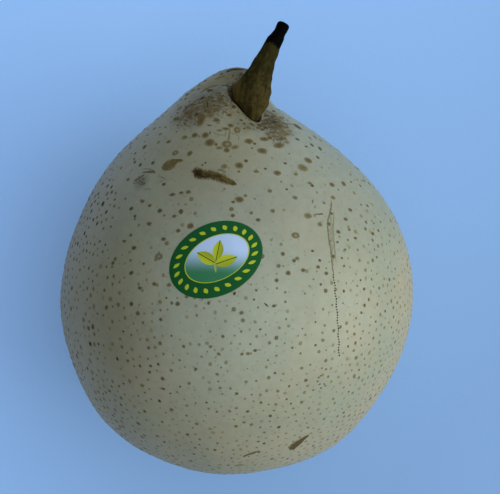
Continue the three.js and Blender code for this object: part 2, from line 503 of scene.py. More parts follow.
# Areas in the pear's frame: middle and radius, and where they are given, how strong, and the core's share.
RUSSET_AREAS = (
    ((-9.5, 41.5, 8.0), 6.5),
    ((-4.5, 43.6, 7.0), 7.0),
    ((8.5, 39.2, 7.6), 6.5),
    ((9.0, 37.8, 12.0), 4.2),
    ((1.0, 45.0, -2.0), 7.0),
)
STAINS_AND_SHADE = (
    # the lobe
    ((1.2, 47.0, 0.5), 7.5, 0.75),
    ((0.0, 49.5, -3.5), 6.5, 0.45),
    # the crown's left
    ((-8.5, 43.0, 5.5), 8.5, 0.42),
    ((-5.4, 44.6, 1.5), 7.5, 0.55),
    # round the stem's foot
    ((-0.3, 43.5, 7.5), 4.5, 0.6),
    ((1.8, 40.6, 10.8), 5.0, 0.55),
    ((7.5, 39.8, 8.5), 6.5, 0.32),
    ((7.2, 41.6, 2.5), 4.5, 0.5),
    ((6.2, 41.3, 4.8), 2.2, 0.5),
    # a smudge, and a band of painted shade down the left of the belly, where it is darkest
    ((-19.8, 29.3, 18.0), 2.8, 0.65),
    ((-22.5, -1.0, 32.0), 14.0, 0.19),
)
# painted highlight: a paler, cooler field on the belly, for the soft reflection of the light there
PAINTED_BELLY_SHEEN = ((-4.0, 6.0, 37.0), 27.0, 0.85)
GREENER_CROWN = ((-6.0, 36.0, 15.0), 20.0, 0.8, 0.27)


def russet_share(tree, spot, beside):
    """How much of the skin has turned to cork: mottled in areas round the stem, solid in the calyx pit."""
    area = add(tree, "MapRange", (beside, 0.2, 0.9, 0.0, 0.9), **SMOOTH)
    for middle, radius in RUSSET_AREAS:
        near = round_area(tree, spot, middle, radius)
        area = add(tree, "Math", (area, near), operation="MAXIMUM")

    # fine dark specks and streaks, closest together in the middle of an area
    specks = add(tree, "TexNoise", {"Vector": spot, "Scale": 1 / SPECKS, "Detail": 5.0, "Roughness": 0.7})
    closer = add(tree, "Math", (area, 0.2, specks), operation="MULTIPLY_ADD")
    speckled = add(tree, "MapRange", (closer, 0.6, 0.76, 0.0, 1.0), **SMOOTH)
    within = add(tree, "MapRange", (area, 0.0, 0.4, 0.0, 1.0))
    top = add(tree, "Math", (speckled, within), operation="MULTIPLY")

    # the pit of the calyx, with a ragged rim
    crumbs = {"Vector": spot, "Scale": 1 / PIT_BLOTS, "Detail": 5.0, "Roughness": 0.62}
    blots = add(tree, "TexNoise", crumbs)
    ragged = add(tree, "Math", (blots, 7.0, off_axis(tree, spot)), operation="MULTIPLY_ADD")
    pit = add(tree, "MapRange", (ragged, 6.5, 10.5, 0.95, 0.0), **SMOOTH)
    height = add(tree, "SeparateXYZ", (spot,), output=1)
    under = add(tree, "MapRange", (height, -28.0, -30.0, 0.0, 1.0))
    bottom = add(tree, "Math", (pit, under), operation="MULTIPLY")
    return add(tree, "Math", (top, bottom), operation="MAXIMUM"), area


def ground_colour(tree, spot, settings):
    """The skin's slow changes of colour, from clouds one to three centimetres wide to whole sides."""
    side, height = (add(tree, "SeparateXYZ", (spot,), output=i) for i in range(2))
    clouds = add(tree, "TexNoise", {"Vector": spot, "Scale": 1 / CLOUDS, "Detail": 2.0})
    ground = paint(tree, settings.green, settings.cream, clouds, 0.38, 0.62)
    patches = add(tree, "TexNoise", {"Vector": spot, "Scale": 1 / PATCHES, "Detail": 3.0})
    ground = paint(tree, ground, settings.rosy, patches, 0.5, 0.68, 0.3)

    # more olive towards the calyx, but less on the right as painted light, and olive down the left side as
    # painted shade; the upper half is tinted as a painted cool bounce
    low = add(tree, "MapRange", (height, -12.0, -36.0, 0.0, 0.6), **SMOOTH)
    # painted light: less olive on the right, where the light falls
    less_on_lit_right = add(tree, "MapRange", (side, 0.0, 14.0, 1.0, 0.3), **SMOOTH)
    lower = add(tree, "Math", (low, less_on_lit_right), operation="MULTIPLY")
    ground = add(tree, "Mix", {0: lower, 6: ground, 7: settings.olive}, 2, **COLOURS)
    # painted shade: olive down the left side, where the fruit is darkest
    ground = paint(tree, ground, settings.olive, side, -14.0, -27.0, 0.8)
    # painted bounce and shade: the upper half towards the stem is tinted cooler and a little darker, for
    # the blue board's bounce and the weaker light there
    ground = paint(tree, ground, settings.cool_bounce_and_shade, height, 8.0, 32.0, 0.7)
    # painted highlight: the paler field on the belly
    pale = round_area(tree, spot, *PAINTED_BELLY_SHEEN)
    ground = add(tree, "Mix", {0: pale, 6: ground, 7: settings.pale}, 2, **COLOURS)

    # painted light: the far left rim is lighter and warmer, for the light bounced up from the board, and
    # the left of the crown is greener
    turned = add(tree, "Math", (side, off_axis(tree, spot)), operation="DIVIDE")
    ground = paint(tree, ground, settings.cream, turned, -0.74, -0.95, 0.55)
    greener = round_area(tree, spot, *GREENER_CROWN)
    return add(tree, "Mix", {0: greener, 6: ground, 7: settings.olive}, 2, **COLOURS)


def stains_and_painted_shade(tree, spot, ground, area, beside, settings):
    """Brown stains round the stem's foot and in smudges, a band of painted shade down the left of the
    belly, and a line of painted shade where skin and stem meet.
    """
    share = add(tree, "Math", (area, 0.32), operation="MULTIPLY")
    ground = add(tree, "Mix", {0: share, 6: ground, 7: settings.russet}, 2, **COLOURS)
    smudge = add(tree, "TexNoise", {"Vector": spot, "Scale": 1 / SMUDGES, "Detail": 3.0})
    uneven = add(tree, "MapRange", (smudge, 0.3, 0.65, 0.55, 1.0))
    # the last area is a band of painted shade; the others are stains
    for stain_and_shade in STAINS_AND_SHADE:
        share = add(tree, "Math", (round_area(tree, spot, *stain_and_shade), uneven), operation="MULTIPLY")
        ground = add(tree, "Mix", {0: share, 6: ground, 7: settings.stain_and_shade}, 2, **COLOURS)
    # painted shade: the line against the stem's bark, where the crease is in shadow
    return paint(tree, ground, settings.crease_shade, beside, 0.82, 0.95, 0.97)


def skin_finish(tree, settings):
    """The skin's colour, roughness, sheen and height, which what grows from the skin fades into."""
    spot = pear_coordinates(tree)
    beside = add(tree, "Attribute", output="Fac", attribute_name="beside_stem")
    russet, area = russet_share(tree, spot, beside)
    ground = ground_colour(tree, spot, settings)
    ground = stains_and_painted_shade(tree, spot, ground, area, beside, settings)

    # a fine mottle, and the faint specks of pores too small to stand out
    fine = {"Vector": spot, "Scale": 1 / MOTTLE, "Detail": 4.0, "Roughness": 0.6}
    shade = add(tree, "MapRange", (add(tree, "TexNoise", fine), 0.3, 0.7, 0.94, 1.06))
    ground = add(tree, "VectorMath", {0: ground, 3: shade}, operation="SCALE")
    speck = add(tree, "TexVoronoi", {"Vector": spot, "Scale": 1 / FAINT_PORES})
    ground = paint(tree, ground, settings.russet, speck, 0.24, 0.08, 0.28)

    # cork has its own light and dark
    grain = add(tree, "TexNoise", {"Vector": spot, "Scale": 1 / SKIN_CORK, "Detail": 4.0, "Roughness": 0.7})
    depth = add(tree, "MapRange", (grain, 0.3, 0.7, 0.7, 1.35))
    cork = add(tree, "VectorMath", {0: settings.russet[:3], 3: depth}, operation="SCALE")
    share = add(tree, "Math", (russet, 0.62), operation="MULTIPLY")
    base = add(tree, "Mix", {0: share, 6: ground, 7: cork}, 2, **COLOURS)

    # the waxy skin has a shallow orange-peel texture, and cork is rougher and duller
    peel = add(tree, "TexNoise", {"Vector": spot, "Scale": 1 / PEEL, "Detail": 2.0})
    shallow = add(tree, "Math", (peel, 0.035), operation="MULTIPLY")
    rough = add(tree, "Math", (russet, grain), operation="MULTIPLY")
    relief = add(tree, "Math", (rough, 0.07, shallow), operation="MULTIPLY_ADD")
    roughness = add(tree, "MapRange", (russet, 0.0, 1.0, 0.5, 0.78))
    sheen = add(tree, "MapRange", (russet, 0.0, 1.0, 0.5, 0.1))
    return base, roughness, sheen, relief, spot


def skin_material(settings):
    """Ripe pear skin: a thin waxy coat over pale flesh, so the gloss is broad and soft."""
    material, tree = blank_material("waxy_pear_skin")
    base, roughness, sheen, relief, _ = skin_finish(tree, settings)
    close_material(tree, base, roughness, relief, sheen)
    return material


def cork_material(fruit, pores):
    """Dried cork of pores and scars: matt brown, ragged at the edge, and fading into the skin round it.

    It reads four numbers on each vertex: blot, 1 in the middle of a mark and 0 on its rim; tone, from dark
    to tan; strength, how solid the mark is; and ring, which leaves the middle paler than its edge.
    """
    material, tree = blank_material("dried_cork")
    skin, skin_roughness, skin_sheen, skin_relief, spot = skin_finish(tree, fruit)
    blot, tone, strength, ring = (
        add(tree, "Attribute", output="Fac", attribute_name=name)
        for name in ("blot", "tone", "strength", "ring")
    )
    grain = add(tree, "TexNoise", {"Vector": spot, "Scale": 1 / SPOT_CORK, "Detail": 4.0, "Roughness": 0.7})
    ragged = add(tree, "Math", (grain, 0.9, blot), operation="MULTIPLY_ADD")
    mask = add(tree, "MapRange", (ragged, 0.42, 0.95, 0.0, 1.0), **SMOOTH)
    middle = add(tree, "MapRange", (blot, 0.45, 0.9, 0.0, 0.55), **SMOOTH)
    hollow = add(tree, "MapRange", (ring, 0.5, 0.8, 0.0, -0.8))
    thin = add(tree, "Math", (middle, hollow, 1.0), operation="MULTIPLY_ADD")
    cover = add(tree, "Math", (strength, thin), operation="MULTIPLY")
    solid = add(tree, "Math", (mask, cover), operation="MULTIPLY")

    # from dark over brown to tan, with the grain's light and dark
    paler = add(tree, "Math", (middle, ring), operation="MULTIPLY")
    light = add(tree, "Math", (grain, 0.5), operation="SUBTRACT")
    patchy = add(tree, "Math", (light, 0.7, tone), operation="MULTIPLY_ADD")
    toned = add(tree, "Math", (patchy, paler), operation="ADD")
    cork = pores.dark
    for colour, low, high in ((pores.brown, 0.0, 0.5), (pores.tan, 0.5, 1.0)):
        share = add(tree, "MapRange", (toned, low, high, 0.0, 1.0))
        cork = add(tree, "Mix", {0: share, 6: cork, 7: colour}, 2, **COLOURS)

    base = add(tree, "Mix", {0: solid, 6: skin, 7: cork}, 2, **COLOURS)
    roughness = add(tree, "Mix", {0: solid, 2: skin_roughness, 3: 0.85})
    sheen = add(tree, "Mix", {0: solid, 2: skin_sheen, 3: 0.08})
    rough = add(tree, "Math", (solid, grain), operation="MULTIPLY")
    relief = add(tree, "Math", (rough, 0.06, skin_relief), operation="MULTIPLY_ADD")
    close_material(tree, base, roughness, relief, sheen)
    return material


def bark_material(settings):
    """Dry bark of a fruit stalk: dull, ridged along its length, with small pale pores and a dead black tip.

    The vector named bark follows the stem: across it in x and z, and the distance from the tip in y.
    """
    material, tree = blank_material("dry_stalk_bark")
    spot = add(tree, "Attribute", output="Vector", attribute_name="bark")
    from_tip = add(tree, "SeparateXYZ", (spot,), output=1)
    drawn_out = add(tree, "Mapping", {"Vector": spot, "Scale": (1, 0.22, 1)})
    grain = {"Vector": drawn_out, "Scale": 1 / BARK_FIBRES, "Detail": 5.0, "Roughness": 0.6}
    fibres = add(tree, "TexNoise", grain)
    flakes = {"Vector": spot, "Scale": 1 / BARK_BLOTS, "Detail": 4.0, "Roughness": 0.6}
    blots = add(tree, "TexNoise", flakes)
    foot = add(tree, "MapRange", (from_tip, 10.5, 17.5, -0.18, 0.14))
    lit = add(tree, "Math", (blots, foot), operation="ADD")
    mixed = add(tree, "Math", (fibres, 0.5, lit), operation="MULTIPLY_ADD")
    mottled = add(tree, "MapRange", (mixed, 0.5, 1.2, 0.04, 0.76), **SMOOTH)
    # painted light: the collar is mixed towards the lighter mustard, for the light it catches in front of
    # the stem
    collar = add(tree, "MapRange", (off_axis(tree, spot), STEM_RADIUS + 0.2, STEM_RADIUS + 0.8, 0.0, 1.0))
    ochre_and_lit_collar = add(tree, "Math", (mottled, collar), operation="MAXIMUM")
    base = add(tree, "Mix", {0: ochre_and_lit_collar, 6: settings.bark, 7: settings.mustard}, 2, **COLOURS)

    # dark cracks, pale pores a third of a millimetre across, and a dead tip with a ragged border
    base = paint(tree, base, settings.black, fibres, 0.5, 0.34, 0.3)
    pore = add(tree, "TexVoronoi", {"Vector": spot, "Scale": 1 / BARK_PORES})
    base = paint(tree, base, settings.mustard, pore, 0.2, 0.1, 0.4)
    ragged = add(tree, "Math", (fibres, 2.2, from_tip), operation="MULTIPLY_ADD")
    border = settings.burnt / MM + 1.1
    base = paint(tree, base, settings.black, ragged, border + 0.7, border - 0.1)
    relief = add(tree, "Math", (fibres, 0.16), operation="MULTIPLY")
    close_material(tree, base, 0.85, relief, sheen=0.03)
    return material


SPRIG = (  # place, turn, length and width of each leaf, in millimetres, upright in the oval
    ((-2.0, -0.1), radians(152), 4.9, 2.5),
    ((1.9, -0.5), radians(22), 5.0, 2.6),
    ((0.2, 1.5), radians(82), 4.6, 2.3),
    ((-0.1, -2.0), radians(97), 2.4, 0.45),
)
FIELD = (0.68, 0.587)  # the middle field's shares of the sticker's length and width
FIELD_PLACE = (0.35, 0, 0)
RING_LEAVES = 22
RING_LEAF = ((0, 0), radians(52), 1.5, 0.85)


def leaf_share(tree, spot, place, turn, long, wide):
    """Above 0 inside a pointed leaf and 1 on its rib half way along, and the place across the leaf."""
    frame = (spot, (*place, 0), (0, 0, turn), (long / 2, wide / 2, 1))
    local = add(tree, "Mapping", frame, vector_type="TEXTURE")
    along, across = (add(tree, "SeparateXYZ", (local,), output=i) for i in range(2))
    square = add(tree, "Math", (along, along), operation="MULTIPLY")
    width = add(tree, "Math", (across,), operation="ABSOLUTE")
    filled = add(tree, "Math", (square, width), operation="ADD")
    return add(tree, "Math", (1.0, filled), operation="SUBTRACT"), across


def printed_field(tree, spot, long, wide, settings):
    """The middle field, from sky to green, with its sprig and a thin line round it. The band is past it."""
    upright = add(tree, "Mapping", (spot, FIELD_PLACE, (0, 0, -LABEL_TURN)), vector_type="TEXTURE")
    rise = add(tree, "SeparateXYZ", (upright,), output=1)
    base = paint(tree, settings.sky, settings.field, rise, 2.2, -3.4)
    for leaf in SPRIG:
        inside, across = leaf_share(tree, upright, *leaf)
        side = add(tree, "MapRange", (across, -0.7, 0.7, 0.72, 1.12))
        blade = add(tree, "VectorMath", {0: settings.ink[:3], 3: side}, operation="SCALE")
        rib = add(tree, "Math", (across, 0.0, 0.07), operation="COMPARE")
        ribbed = add(tree, "Mix", {0: rib, 6: blade, 7: settings.band}, 2, **COLOURS)
        mask = add(tree, "MapRange", (inside, 0.0, 0.08, 0.0, 1.0))
        base = add(tree, "Mix", {0: mask, 6: base, 7: ribbed}, 2, **COLOURS)

    oval = add(tree, "Mapping", (spot, FIELD_PLACE, None, (long, wide, 1)), vector_type="TEXTURE")
    out = add(tree, "VectorMath", (oval,), output="Value", operation="LENGTH")
    outside = add(tree, "MapRange", (out, 0.99, 1.01, 0.0, 1.0))
    base = add(tree, "Mix", {0: outside, 6: base, 7: settings.band}, 2, **COLOURS)
    line = add(tree, "Math", (out, 1.018, 0.016), operation="COMPARE")
    return add(tree, "Mix", {0: line, 6: base, 7: settings.ink}, 2, **COLOURS)


def leaf_ring(tree, spot, long, wide):
    """1 within the small slanted leaves that go round the sticker on an oval of this size."""
    ring = add(tree, "Mapping", (spot, None, None, (long, wide, 1)), vector_type="TEXTURE")
    x, y = (add(tree, "SeparateXYZ", (ring,), output=i) for i in range(2))
    angle = add(tree, "Math", (y, x), operation="ARCTAN2")
    turns = add(tree, "Math", (angle, RING_LEAVES / (2 * pi)), operation="MULTIPLY")
    step = add(tree, "Math", (turns,), operation="FRACT")
    beside = add(tree, "Math", (step, 0.5), operation="SUBTRACT")
    pitch = pi * (long + wide) / RING_LEAVES
    sideways = add(tree, "Math", (beside, pitch), operation="MULTIPLY")
    radial = add(tree, "VectorMath", (ring,), output="Value", operation="LENGTH")
    above = add(tree, "Math", (radial, 1.0), operation="SUBTRACT")
    upwards = add(tree, "Math", (above, (long + wide) / 2), operation="MULTIPLY")
    inside, _ = leaf_share(tree, add(tree, "CombineXYZ", (sideways, upwards, 0.0)), *RING_LEAF)
    return add(tree, "MapRange", (inside, 0.0, 0.15, 0.0, 1.0))


def label_material(settings):
    """Coated paper sticker, printed and glossy: a dark green band with small leaves, and a sprig within.

    The UV map named print is in millimetres: u along the oval and v across it.
    """
    material, tree = blank_material("coated_label_paper")
    spot = add(tree, "UVMap", uv_map="print")
    long, wide = settings.long / MM / 2, settings.wide / MM / 2
    inner_long, inner_wide = FIELD[0] * long, FIELD[1] * wide
    base = printed_field(tree, spot, inner_long, inner_wide, settings)
    # the small leaves stand in the middle of the band
    leaves = leaf_ring(tree, spot, (long + inner_long) / 2 + 0.05, (wide + inner_wide) / 2 + 0.02)
    base = add(tree, "Mix", {0: leaves, 6: base, 7: settings.ink}, 2, **COLOURS)
    fibres = add(tree, "TexNoise", {"Vector": spot, "Scale": 1 / PAPER_FIBRES, "Detail": 2.0})
    relief = add(tree, "Math", (fibres, 0.02), operation="MULTIPLY")
    close_material(tree, base, 0.4, relief, sheen=0.12)
    return material


def board_material(settings):
    """Matt painted board with a fine tooth, and painted light: paler towards its upper left and darker
    towards its lower right, which lifts the fruit's shadow and dims the lit side.
    """
    material, tree = blank_material("matt_painted_board")
    spot = add(tree, "TexCoord", output="Object")
    tooth = add(tree, "TexNoise", {"Vector": spot, "Scale": 1 / BOARD_TOOTH / MM, "Detail": 2.0})
    shade = add(tree, "MapRange", (tooth, 0.0, 1.0, 0.985, 1.015))
    # painted light: the board's colour rises towards the upper left and falls towards the lower right
    upper_left = (-0.77, 0.64, 0)
    aside = add(tree, "VectorMath", (spot, upper_left), output="Value", operation="DOT_PRODUCT")
    painted_light_gradient = add(tree, "MapRange", (aside, -0.06, 0.06, 0.84, 1.28))
    shade = add(tree, "Math", (shade, painted_light_gradient), operation="MULTIPLY")
    base = add(tree, "VectorMath", {0: settings.floor[:3], 3: shade}, operation="SCALE")
    relief = add(tree, "Math", (tooth, 0.02), operation="MULTIPLY")
    close_material(tree, base, 0.9, relief)
    return material


# ---- fruit ----


def skin_relief(points, settings):
    """How far the skin stands off its smooth form, in millimetres."""
    waves = noise_at(points, 9.0) + 0.4 * noise_at(points, 4.0, 5.0)

    # the crinkles run out from the stem's foot
    foot_x, _, foot_z = STEM_LINE[STEM_SKIN]
    across, front = points[..., 0] - foot_x, points[..., 2] - foot_z
    away, angle = np.hypot(across, front), np.arctan2(front, across)
    rays = np.stack([2.6 * np.cos(angle), 2.6 * np.sin(angle), 0.07 * away], axis=-1)
    crinkle = 0.7 * noise_at(rays, 0.45) + 0.5 * noise_at(points, 1.5, 9.0)
    crinkle *= smoothstep(points[..., 1], 33, 40) * (1 - smoothstep(away, 11, 19))
    gap = (1 - beside_stem(points)) * STEM_NEAR
    groove = GROOVE_DEPTH * (1 - smoothstep(gap, 0.3, GROOVE_WIDTH)) - 0.25 * bell(gap - 1.8, 0.6)
    return (settings.waves * waves + settings.crinkle * crinkle) / MM - groove


def store_pore_zones(mesh, points):
    """Stores how close, how large and how light the pores are.

    They are sparser and larger towards the stem, and only specks where the listed spots are laid.
    """
    across, height, front = points.T
    left = smoothstep(-np.sin(np.arctan2(across, front)), 0.72, 0.9)
    share = 1 - 0.24 * smoothstep(height, -30, 2) - 0.46 * smoothstep(height, 11, 18)
    share -= 0.08 * smoothstep(height, 22, 30) + 0.12 * bell(across + 17, 8)
    share += 0.12 * smoothstep(across, 16, 30) + 0.4 * left * smoothstep(height, 8, 18)
    share -= 0.12 * plateau(across, -14, 12, 6) * (1 - smoothstep(height, 11, 18))
    share -= 0.25 * bell(across - 12, 7) * bell(height - 13, 8)
    for middle, radius in RUSSET_AREAS:
        apart = np.linalg.norm(points - middle, axis=1)
        share = np.maximum(share, 1 - smoothstep(apart, 0.6 * radius, 1.2 * radius))
    size = 1 + 0.35 * smoothstep(height, 12, 30) + 0.3 * bell(across + 30, 9) * bell(height + 8, 18)
    size -= 0.15 * bell(across - 6, 14) * bell(height + 22, 12)
    by_hand = smoothstep(height, 24, 33) * smoothstep(front, -2, 8)
    store(mesh, "pore_share", share)
    store(mesh, "pore_size", size * (1 - 0.5 * by_hand))
    store(mesh, "pore_tone", 1 - 0.6 * left * smoothstep(height, 0, 12))


class PEAR_OT_fruit(Operator):
    """Makes the skin of the fruit, from the calyx to the crown"""

    bl_idname = "pear.fruit"
    bl_label = "Fruit"

    def execute(self, context):
        settings = context.scene.pear_fruit
        rows = fruit_rows(FRUIT_SEGMENTS, FRUIT_STEPS)
        rings, start, end = rows[1:-1], rows[0, 0], rows[-1, 0]
        mesh = closed_mesh("fruit_skin", to_row(rings), to_row(start), to_row(end))
        normals = np.array([vertex.normal for vertex in mesh.vertices])
        own = np.concatenate([[start], rings.reshape(-1, 3), [end]])
        spots = places(mesh) + normals * skin_relief(own, settings)[:, None] * MM
        spots[:, 2] = np.maximum(spots[:, 2], 0)
        mesh.vertices.foreach_set("co", spots.ravel())
        mesh.update()
        store_pore_zones(mesh, own)
        store(mesh, "beside_stem", beside_stem(own))
        finish_piece("fruit_skin", mesh, skin_material(settings), "fruit")
        return {"FINISHED"}


# ---- pores and spots ----

VECTORS = {"data_type": "FLOAT_VECTOR"}  # for a node that handles vectors
# Blanks for one pore and one spot: the corners of a ring, then the radius and height of each ring.
PORE_BLANK = (8, ((0.55, 0.75), (1.0, -0.15)))
SPOT_BLANK = (16, ((0.3, 0.95), (0.6, 0.8), (0.85, 0.35), (1.0, -0.15)))
PORE_RISE, SPOT_RISE = 0.1, 0.07  # of the middle, for a radius of 1
MOST_PORES = 3.0e6  # to the square metre, before the spacing thins them
BLISTER_INPUTS = {
    "Geometry": "Geometry",
    "Skin": "Object",
    "Blank": "Object",
    "Rise": "Float",
    "Material": "Material",
}
PORE_INPUTS = {"Spacing": "Float", "Smallest": "Float", "Largest": "Float", "Seed": "Int"}


def blister_blank(sides, rings):
    """A low closed dome of unit radius, whose last ring is its sharp rim."""
    around = np.arange(sides) * 2 * pi / sides
    circle = np.stack([np.cos(around), np.sin(around), 0 * around], axis=-1)
    radii, heights = np.array(rings).T
    mesh = closed_mesh("blister", radii[:, None, None] * circle, (0, 0, 0.01), (0, 0, -0.01))
    store(mesh, "blot", 1 - np.linalg.norm(places(mesh)[:, :2], axis=1))
    store(mesh, "rise", np.concatenate([[1], np.repeat(heights, sides), [-1]]))
    rim = range(1 + (len(rings) - 1) * sides, 1 + len(rings) * sides)
    sharpen(mesh, [all(v in rim for v in edge.vertices) for edge in mesh.edges])
    return mesh


def new_tree(name, more):
    """A geometry tree with named inputs. Gives the tree and its input node's outputs by name."""
    tree = bpy.data.node_groups.new(name, "GeometryNodeTree")
    for label, kind in {**BLISTER_INPUTS, **more}.items():
        tree.interface.new_socket(label, in_out="INPUT", socket_type="NodeSocket" + kind)
    tree.interface.new_socket("Geometry", in_out="OUTPUT", socket_type="NodeSocketGeometry")
    return tree, add(tree, "NodeGroupInput").node.outputs


def lay_blisters(tree, given, points):
    """Ends a tree: a blank at each point, sized by size and turned by heading, moulded to the skin."""
    skin, blank = (
        add(tree, "GeometryNodeObjectInfo", (given[name],), output="Geometry") for name in ("Skin", "Blank")
    )
    place = add(tree, "GeometryNodeInputPosition")
    outwards = add(tree, "GeometryNodeInputNormal")
    facing, nearest = (
        add(tree, "GeometryNodeSampleNearestSurface", {0: skin, 1: value, 3: place}, **VECTORS)
        for value in (outwards, place)
    )
    size, heading = (
        add(tree, "GeometryNodeInputNamedAttribute", (name,), **VECTORS) for name in ("size", "heading")
    )
    stood = add(tree, "FunctionNodeAlignRotationToVector", {2: facing}, axis="Z")
    turned = add(tree, "FunctionNodeAlignRotationToVector", (stood, 1.0, heading), axis="X", pivot_axis="Z")
    copies = add(tree, "GeometryNodeInstanceOnPoints", {0: points, 2: blank, 5: turned, 6: size})
    real = add(tree, "GeometryNodeRealizeInstances", (copies,))
    rise = add(tree, "GeometryNodeInputNamedAttribute", ("rise",), data_type="FLOAT")
    across = add(tree, "SeparateXYZ", (size,), output=1)
    share = add(tree, "Math", (rise, given["Rise"]), operation="MULTIPLY")
    proud = add(tree, "Math", (share, across), operation="MULTIPLY")
    lift = add(tree, "VectorMath", {0: facing, 3: proud}, operation="SCALE")
    spot = add(tree, "VectorMath", (nearest, lift), operation="ADD")
    moulded = add(tree, "GeometryNodeSetPosition", {0: real, 2: spot})
    painted = add(tree, "GeometryNodeSetMaterial", {0: moulded, 2: given["Material"]})
    add(tree, "NodeGroupOutput", (painted,))


def pores_tree():
    """Pores strewn over the skin, no two closer than the spacing."""
    tree, given = new_tree("pores", PORE_INPUTS)
    share, zone, shade = (
        add(tree, "GeometryNodeInputNamedAttribute", (name,), data_type="FLOAT")
        for name in ("pore_share", "pore_size", "pore_tone")
    )
    strewn = {0: given["Geometry"], 2: given["Spacing"], 3: MOST_PORES, 5: share, 6: given["Seed"]}
    points = add(tree, "GeometryNodeDistributePointsOnFaces", strewn, distribute_method="POISSON")

    # most pores are small, and a few are large
    draw = add(tree, "FunctionNodeRandomValue", {8: 1}, output=1)
    skewed = add(tree, "Math", (draw, 1.6), operation="POWER")
    wide = add(tree, "MapRange", {0: skewed, 3: given["Smallest"], 4: given["Largest"]})
    zoned = add(tree, "Math", (wide, zone), operation="MULTIPLY")
    radius = add(tree, "Math", (zoned, 0.5), operation="MULTIPLY")
    oval, tone, strength, ring = (
        add(tree, "FunctionNodeRandomValue", {2: low, 3: high, 8: seed}, output=1)
        for low, high, seed in ((0.8, 1.0, 2), (0.2, 0.95, 4), (0.5, 1.0, 5), (-0.6, 0.5, 6))
    )
    narrow = add(tree, "Math", (radius, oval), operation="MULTIPLY")
    size = add(tree, "CombineXYZ", (radius, narrow, radius))
    heading = add(tree, "FunctionNodeRandomValue", {0: (-1,) * 3, 1: (1,) * 3, 8: 3}, **VECTORS)
    shaded = add(tree, "Math", (tone, shade), operation="MULTIPLY")
    numbers = (("tone", shaded), ("strength", strength), ("ring", ring))
    for name, value in (("size", size), ("heading", heading)):
        points = add(tree, "GeometryNodeStoreNamedAttribute", {0: points, 2: name, 3: value}, **VECTORS)
    for name, value in numbers:
        points = add(tree, "GeometryNodeStoreNamedAttribute", {0: points, 2: name, 3: value})
    lay_blisters(tree, given, points)
    return tree


def spots_tree():
    """A spot at each point of the mesh, whose own values say how large and how dark it is."""
    tree, given = new_tree("spots", {})
    points = add(tree, "GeometryNodeMeshToPoints", (given["Geometry"],))
    lay_blisters(tree, given, points)
    return tree


def cork():
    """The one cork material, made when it is first asked for."""
    scene = bpy.context.scene
    return bpy.data.materials.get("dried_cork") or cork_material(scene.pear_fruit, scene.pear_pores)


def grow_blisters(name, mesh, tree, blank, **values):
    """Runs a geometry tree on a mesh, and puts the result in the scene as a plain piece."""
    carrier, blister = link(name + "_carrier", mesh), link(name + "_blank", blister_blank(*blank))
    modifier = carrier.modifiers.new(name, "NODES")
    modifier.node_group = tree
    values.update(Skin=bpy.data.objects["fruit_skin"], Blank=blister, Material=cork())
    for socket in tree.interface.items_tree:
        if socket.in_out == "INPUT" and socket.name in values:
            modifier[socket.identifier] = values[socket.name]
    depsgraph = bpy.context.evaluated_depsgraph_get()
    evaluated = carrier.evaluated_get(depsgraph)
    plain = bpy.data.meshes.new_from_object(evaluated, preserve_all_data_layers=True, depsgraph=depsgraph)
    plain.name = name
    carrier.modifiers.remove(modifier)
    for helper in (carrier, blister):
        bpy.data.objects.remove(helper)
    finish_piece(name, plain, None)


class PEAR_OT_pores(Operator):
    """Strews the pores over the skin as low corky blisters"""

    bl_idname = "pear.pores"
    bl_label = "Pores"

    def execute(self, context):
        settings = context.scene.pear_pores
        sizes = {label: getattr(settings, label.lower()) for label in PORE_INPUTS}
        skin = bpy.data.objects["fruit_skin"].data.copy()
        grow_blisters("pores", skin, pores_tree(), PORE_BLANK, Rise=PORE_RISE, **sizes)
        return {"FINISHED"}


# ---- marks laid one by one ----
#
# Each is where it stands in the view: column and row, then length and width, all in pixels, and how far its
# length leans up from the view's right, in degrees. A look is tone, strength and ring of the cork.

DARK = (0.22, 0.82, -0.3)
BROWN = (0.47, 0.9, -0.3)
FLECK = (0.4, 0.55, 0.0)
OLIVE = (0.62, 0.87, -0.3)
RING = (0.4, 0.85, 0.66)
SMUDGE = (0.22, 0.52, 0.0)
HAZE = (0.45, 0.3, 0.0)
SCRATCH = (0.0, 1.0, -0.3)

